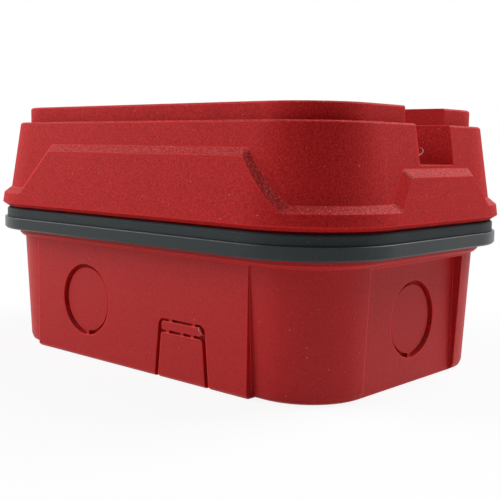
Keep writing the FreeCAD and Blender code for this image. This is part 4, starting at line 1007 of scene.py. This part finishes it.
@dataclass
class SwitchMarks(Fitting):
    """Printed bar and ring on the two halves of the rocker."""

    pivot: tuple[float, float] = (-44.0, 75.2)
    dip: float = 4.6
    half: float = 6.8
    lift: float = 1.22
    rest_tilt: float = 9.0
    thickness: float = 0.06
    sunk: float = 0.05
    bar_place: float = 3.6
    bar_half: tuple[float, float] = (0.4, 1.5)
    bar_rounding: float = 0.25
    ring_place: float = 3.7
    ring_radii: tuple[float, float] = (1.15, 1.75)

    def _on_rocker(self, along: float, across: float, out: float, side: int) -> Point:
        """Place a point on one half of the rocker.

        Args:
            along: Distance from the rocker's middle line.
            across: Distance from its centre line.
            out: Height above the surface.
            side: -1 or 1 for the half.

        Returns:
            The point in the object's frame.
        """
        slope = math.atan2(self.lift, self.half)
        x = side * (along * math.cos(slope) - out * math.sin(slope))
        z = self.dip + along * math.sin(slope) + out * math.cos(slope)
        tilt = math.radians(self.rest_tilt)
        return (
            self.pivot[0] + x * math.cos(tilt) - z * math.sin(tilt), across,
            self.pivot[1] + x * math.sin(tilt) + z * math.cos(tilt),
        )

    def shape(self, skin: Skin) -> None:
        """Draw the bar and the ring.

        Args:
            skin: Mesh to draw in.
        """
        half_width, half_length = self.bar_half
        outline = []
        for turn in (math.tau * (step + 0.5) / 16 for step in range(16)):
            end = math.copysign(half_length, math.sin(turn))
            along = self.bar_place + half_width * math.cos(turn)
            outline.append((along, end + self.bar_rounding * math.sin(turn)))
        levels = (-self.sunk, self.thickness)
        skin.wrap([[self._on_rocker(along, across, out, 1) for along, across in outline] for out in levels])
        inner, outer = self.ring_radii
        section = ((inner, levels[0]), (outer, levels[0]), (outer, levels[1]), (inner, levels[1]))
        turns = [math.tau * step / 40 for step in range(40)]
        skin.wrap([
            [self._on_rocker(self.ring_place + radius * math.cos(turn), radius * math.sin(turn), out, -1)
             for radius, out in section] for turn in turns
        ], looped=True)


@dataclass
class FlashHighlightCurls(Fitting):
    """Thin curls of flash left where the mould's parts met, coloured pale as a painted highlight."""

    curls: tuple[tuple[Point, ...], ...] = (
        (
            (72.2, -7.0, 66.8), (72.9, -6.2, 66.5), (73.5, -5.4, 66.9),
            (73.8, -4.9, 67.7), (73.5, -5.0, 68.4), (73.0, -5.5, 68.6),
        ),
        (
            (28.0, -45.9, 17.1), (28.6, -46.5, 16.8), (29.2, -46.7, 16.3),
            (29.7, -46.4, 15.5), (29.8, -45.9, 14.9),
        ),
    )
    thick: float = 0.30
    thin: float = 0.10
    flatness: float = 0.6

    def _tube(self, skin: Skin, path: Sequence[Point]) -> None:
        """Draw one tapering curl.

        Args:
            skin: Mesh to draw in.
            path: Points that the curl runs through.
        """
        points = [Vector(point) for point in path]
        ends = [points[0] * 2 - points[1], *points, points[-1] * 2 - points[-2]]
        line = []
        for before, start, stop, after in zip(ends, ends[1:], ends[2:], ends[3:]):
            for share in (0.0, 0.25, 0.5, 0.75):
                line.append(0.5 * (
                    2.0 * start + (stop - before) * share
                    + (2.0 * before - 5.0 * start + 4.0 * stop - after) * share ** 2
                    + (3.0 * start - before - 3.0 * stop + after) * share ** 3
                ))
        rows = []
        for index, centre in enumerate(line):
            ahead = line[min(index + 1, len(line) - 1)] - line[max(index - 1, 0)]
            side = ahead.cross(Vector((0.3, 0.2, 1.0))).normalized()
            above = side.cross(ahead).normalized()
            radius = self.thick + (self.thin - self.thick) * index / (len(line) - 1)
            rows.append([
                tuple(centre + (side * math.cos(turn) + above * self.flatness * math.sin(turn)) * radius)
                for turn in (math.tau * step / 10 for step in range(10))
            ])
        skin.wrap(rows)

    def shape(self, skin: Skin) -> None:
        """Draw every curl."""
        for path in self.curls:
            self._tube(skin, path)


def fittings() -> list[Fitting]:
    """List the pieces made in mesh code.

    Returns:
        The pieces, from the cover's screws to the terminals' knobs.
    """
    steel = Finish.STAINLESS
    fence, earth = (37.5, -10.5), (37.5, 15.5)
    return [
        CoverScrews("cover_screws_turned", steel, "steel", stands_for=("cover_screws",)),
        IndicatorLens("indicator_lens_moulded", Finish.LENS, "lens", stands_for=("indicator_lens",)),
        SwitchMarks("rocker_marks", Finish.MARK, "capacitor_box", "rocker"),
        # pale curls that stand in for small highlights: painted highlight
        FlashHighlightCurls("flash_curls_painted_highlight", Finish.PALE_FLASH_HIGHLIGHT, "red_shell"),
        TerminalStud("fence_stud_threaded", steel, "steel", stands_for=("fence_stud",), place=fence),
        TerminalStud("earth_stud_threaded", steel, "steel", stands_for=("earth_stud",), place=earth),
        TerminalKnob(
            "fence_knob_moulded", Finish.FENCE_KNOB, "fence_red",
            body="fence_knob", stands_for=("fence_knob",), place=fence,
        ),
        TerminalKnob(
            "earth_knob_moulded", Finish.EARTH_KNOB, "earth_green",
            body="earth_knob", stands_for=("earth_knob",), place=earth,
        ),
    ]


@dataclass(frozen=True)
class SoftLamp:
    """Rectangular soft lamp that looks at the object from a direction.

    Its aim is the azimuth, from the -Y side towards +X, and the elevation, in degrees. Its reach and
    size are in metres, and its power is in watts.
    """

    name: str
    aim: tuple[float, float]
    reach: float
    size: tuple[float, float]
    power: float
    looks_at: Point = (0.0, 0.0, 0.04)

    def hang(self) -> None:
        """Add the lamp to the scene."""
        data = bpy.data.lights.new(self.name, "AREA")
        data.shape = "RECTANGLE"
        data.size, data.size_y = self.size
        data.energy = self.power
        lamp = bpy.data.objects.new(self.name, data)
        azimuth, elevation = (math.radians(angle) for angle in self.aim)
        level = math.cos(elevation)
        back = Vector((math.sin(azimuth) * level, -math.cos(azimuth) * level, math.sin(elevation)))
        lamp.location = Vector(self.looks_at) + back * self.reach
        lamp.rotation_euler = (-back).to_track_quat("-Z", "Y").to_euler()
        bpy.context.scene.collection.objects.link(lamp)


@dataclass
class Studio:
    """Pale floor, soft lamps and the camera at the photograph's viewing angle."""

    camera_place: Point = (205.8 * MM, -222.8 * MM, 68.02 * MM)
    yaw: float = 41.923
    pitch: float = 6.507
    roll: float = 0.866
    focal_in_image_widths: float = 900.76 / 500
    sensor_width: float = 36.0
    clip: Span = (0.01, 20.0)
    floor_size: float = 3.0
    floor_height: float = -0.2 * MM
    floor_colour: Colour = (0.86, 0.86, 0.86)
    floor_glow: float = 0.88
    floor_fade: Span = (0.14, 0.42)
    ambient: float = 0.12
    lamps: tuple[SoftLamp, ...] = (
        SoftLamp("left softbox", aim=(-52.0, 30.0), reach=0.75, size=(0.6, 0.5), power=5.0),
        SoftLamp("right softbox", aim=(150.0, 45.0), reach=0.75, size=(0.4, 0.5), power=5.2),
        SoftLamp("top softbox", aim=(20.0, 84.0), reach=0.8, size=(0.8, 0.8), power=0.8),
        SoftLamp("end strip light", aim=(112.0, 9.0), reach=0.6, size=(0.06, 0.10), power=0.16),
    )

    def build(self) -> None:
        """Build floor, world, lamps and camera."""
        self._floor()
        self._world()
        for lamp in self.lamps:
            lamp.hang()
        self._camera()

    @staticmethod
    def _shown(graph: Graph) -> Value:
        """Find the rays that show floor and world as they are.

        Args:
            graph: Tree of the floor or the world.

        Returns:
            1 for a ray that is seen, mirrored or passed through clear plastic, and 0 for others.
        """
        rays = ("Is Camera Ray", "Is Glossy Ray", "Is Transmission Ray")
        seen, mirrored, passed = (graph.node("ShaderNodeLightPath", output=ray) for ray in rays)
        return seen.maximum(mirrored).maximum(passed)

    def _floor(self) -> None:
        """Lay the pale floor, which shows near white to the camera and keeps the shadow."""
        mesh = bpy.data.meshes.new("floor")
        sheet = bmesh.new()
        half = self.floor_size / 2
        corners = [(-half, -half), (half, -half), (half, half), (-half, half)]
        sheet.faces.new([sheet.verts.new((x, y, self.floor_height)) for x, y in corners])
        sheet.to_mesh(mesh)
        sheet.free()
        floor = bpy.data.objects.new("floor", mesh)
        bpy.context.scene.collection.objects.link(floor)
        graph = Graph.of_material("pale floor")
        cloth = graph.node("ShaderNodeBsdfDiffuse", inputs={"Color": self.floor_colour})
        glow = graph.node("ShaderNodeEmission", inputs={"Color": WHITE, "Strength": 1.0})
        here = graph.node("ShaderNodeTexCoord", output="Object")
        away = graph.node("ShaderNodeVectorMath", {"operation": "LENGTH"}, {0: here}, "Value")
        glow_share = away.rise(*self.floor_fade) * (1.0 - self.floor_glow) + self.floor_glow
        share = self._shown(graph) * glow_share
        floor.data.materials.append(
            graph.output(graph.node("ShaderNodeMixShader", inputs={0: share, 1: cloth, 2: glow}))
        )

    def _world(self) -> None:
        """Set an even world that shows white to the camera and lights the object softly."""
        world = bpy.data.worlds.new("studio")
        graph = Graph(world)
        level = self._shown(graph).maximum(self.ambient)
        graph.output(graph.node("ShaderNodeBackground", inputs={"Color": WHITE, "Strength": level}))
        bpy.context.scene.world = world

    def _camera(self) -> None:
        """Set the camera up as it stood for the photograph."""
        yaw, pitch, roll = (math.radians(angle) for angle in (self.yaw, self.pitch, self.roll))
        level = math.cos(pitch)
        ahead = Vector((-math.sin(yaw) * level, math.cos(yaw) * level, -math.sin(pitch)))
        side = ahead.cross(Vector((0.0, 0.0, 1.0))).normalized()
        above = side.cross(ahead)
        right = math.cos(roll) * side + math.sin(roll) * above
        up = math.cos(roll) * above - math.sin(roll) * side
        data = bpy.data.cameras.new("camera")
        data.sensor_width = self.sensor_width
        data.lens = self.focal_in_image_widths * self.sensor_width
        data.clip_start, data.clip_end = self.clip
        camera = bpy.data.objects.new("camera", data)
        turn = Matrix((right, up, -ahead)).transposed().to_4x4()
        camera.matrix_world = Matrix.Translation(Vector(self.camera_place)) @ turn
        bpy.context.scene.collection.objects.link(camera)
        bpy.context.scene.camera = camera


def main() -> None:
    """Build the looks, the studio and the camera."""
    logging.basicConfig(level=logging.INFO, format="%(message)s")
    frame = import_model()
    wardrobe = Wardrobe()
    CadDressing(wardrobe).apply(frame["nodes"])
    for fitting in fittings():
        fitting.fit(wardrobe)
    Studio().build()
    bpy.context.scene.view_settings.view_transform = "Standard"


if __name__ == "__main__":
    main()
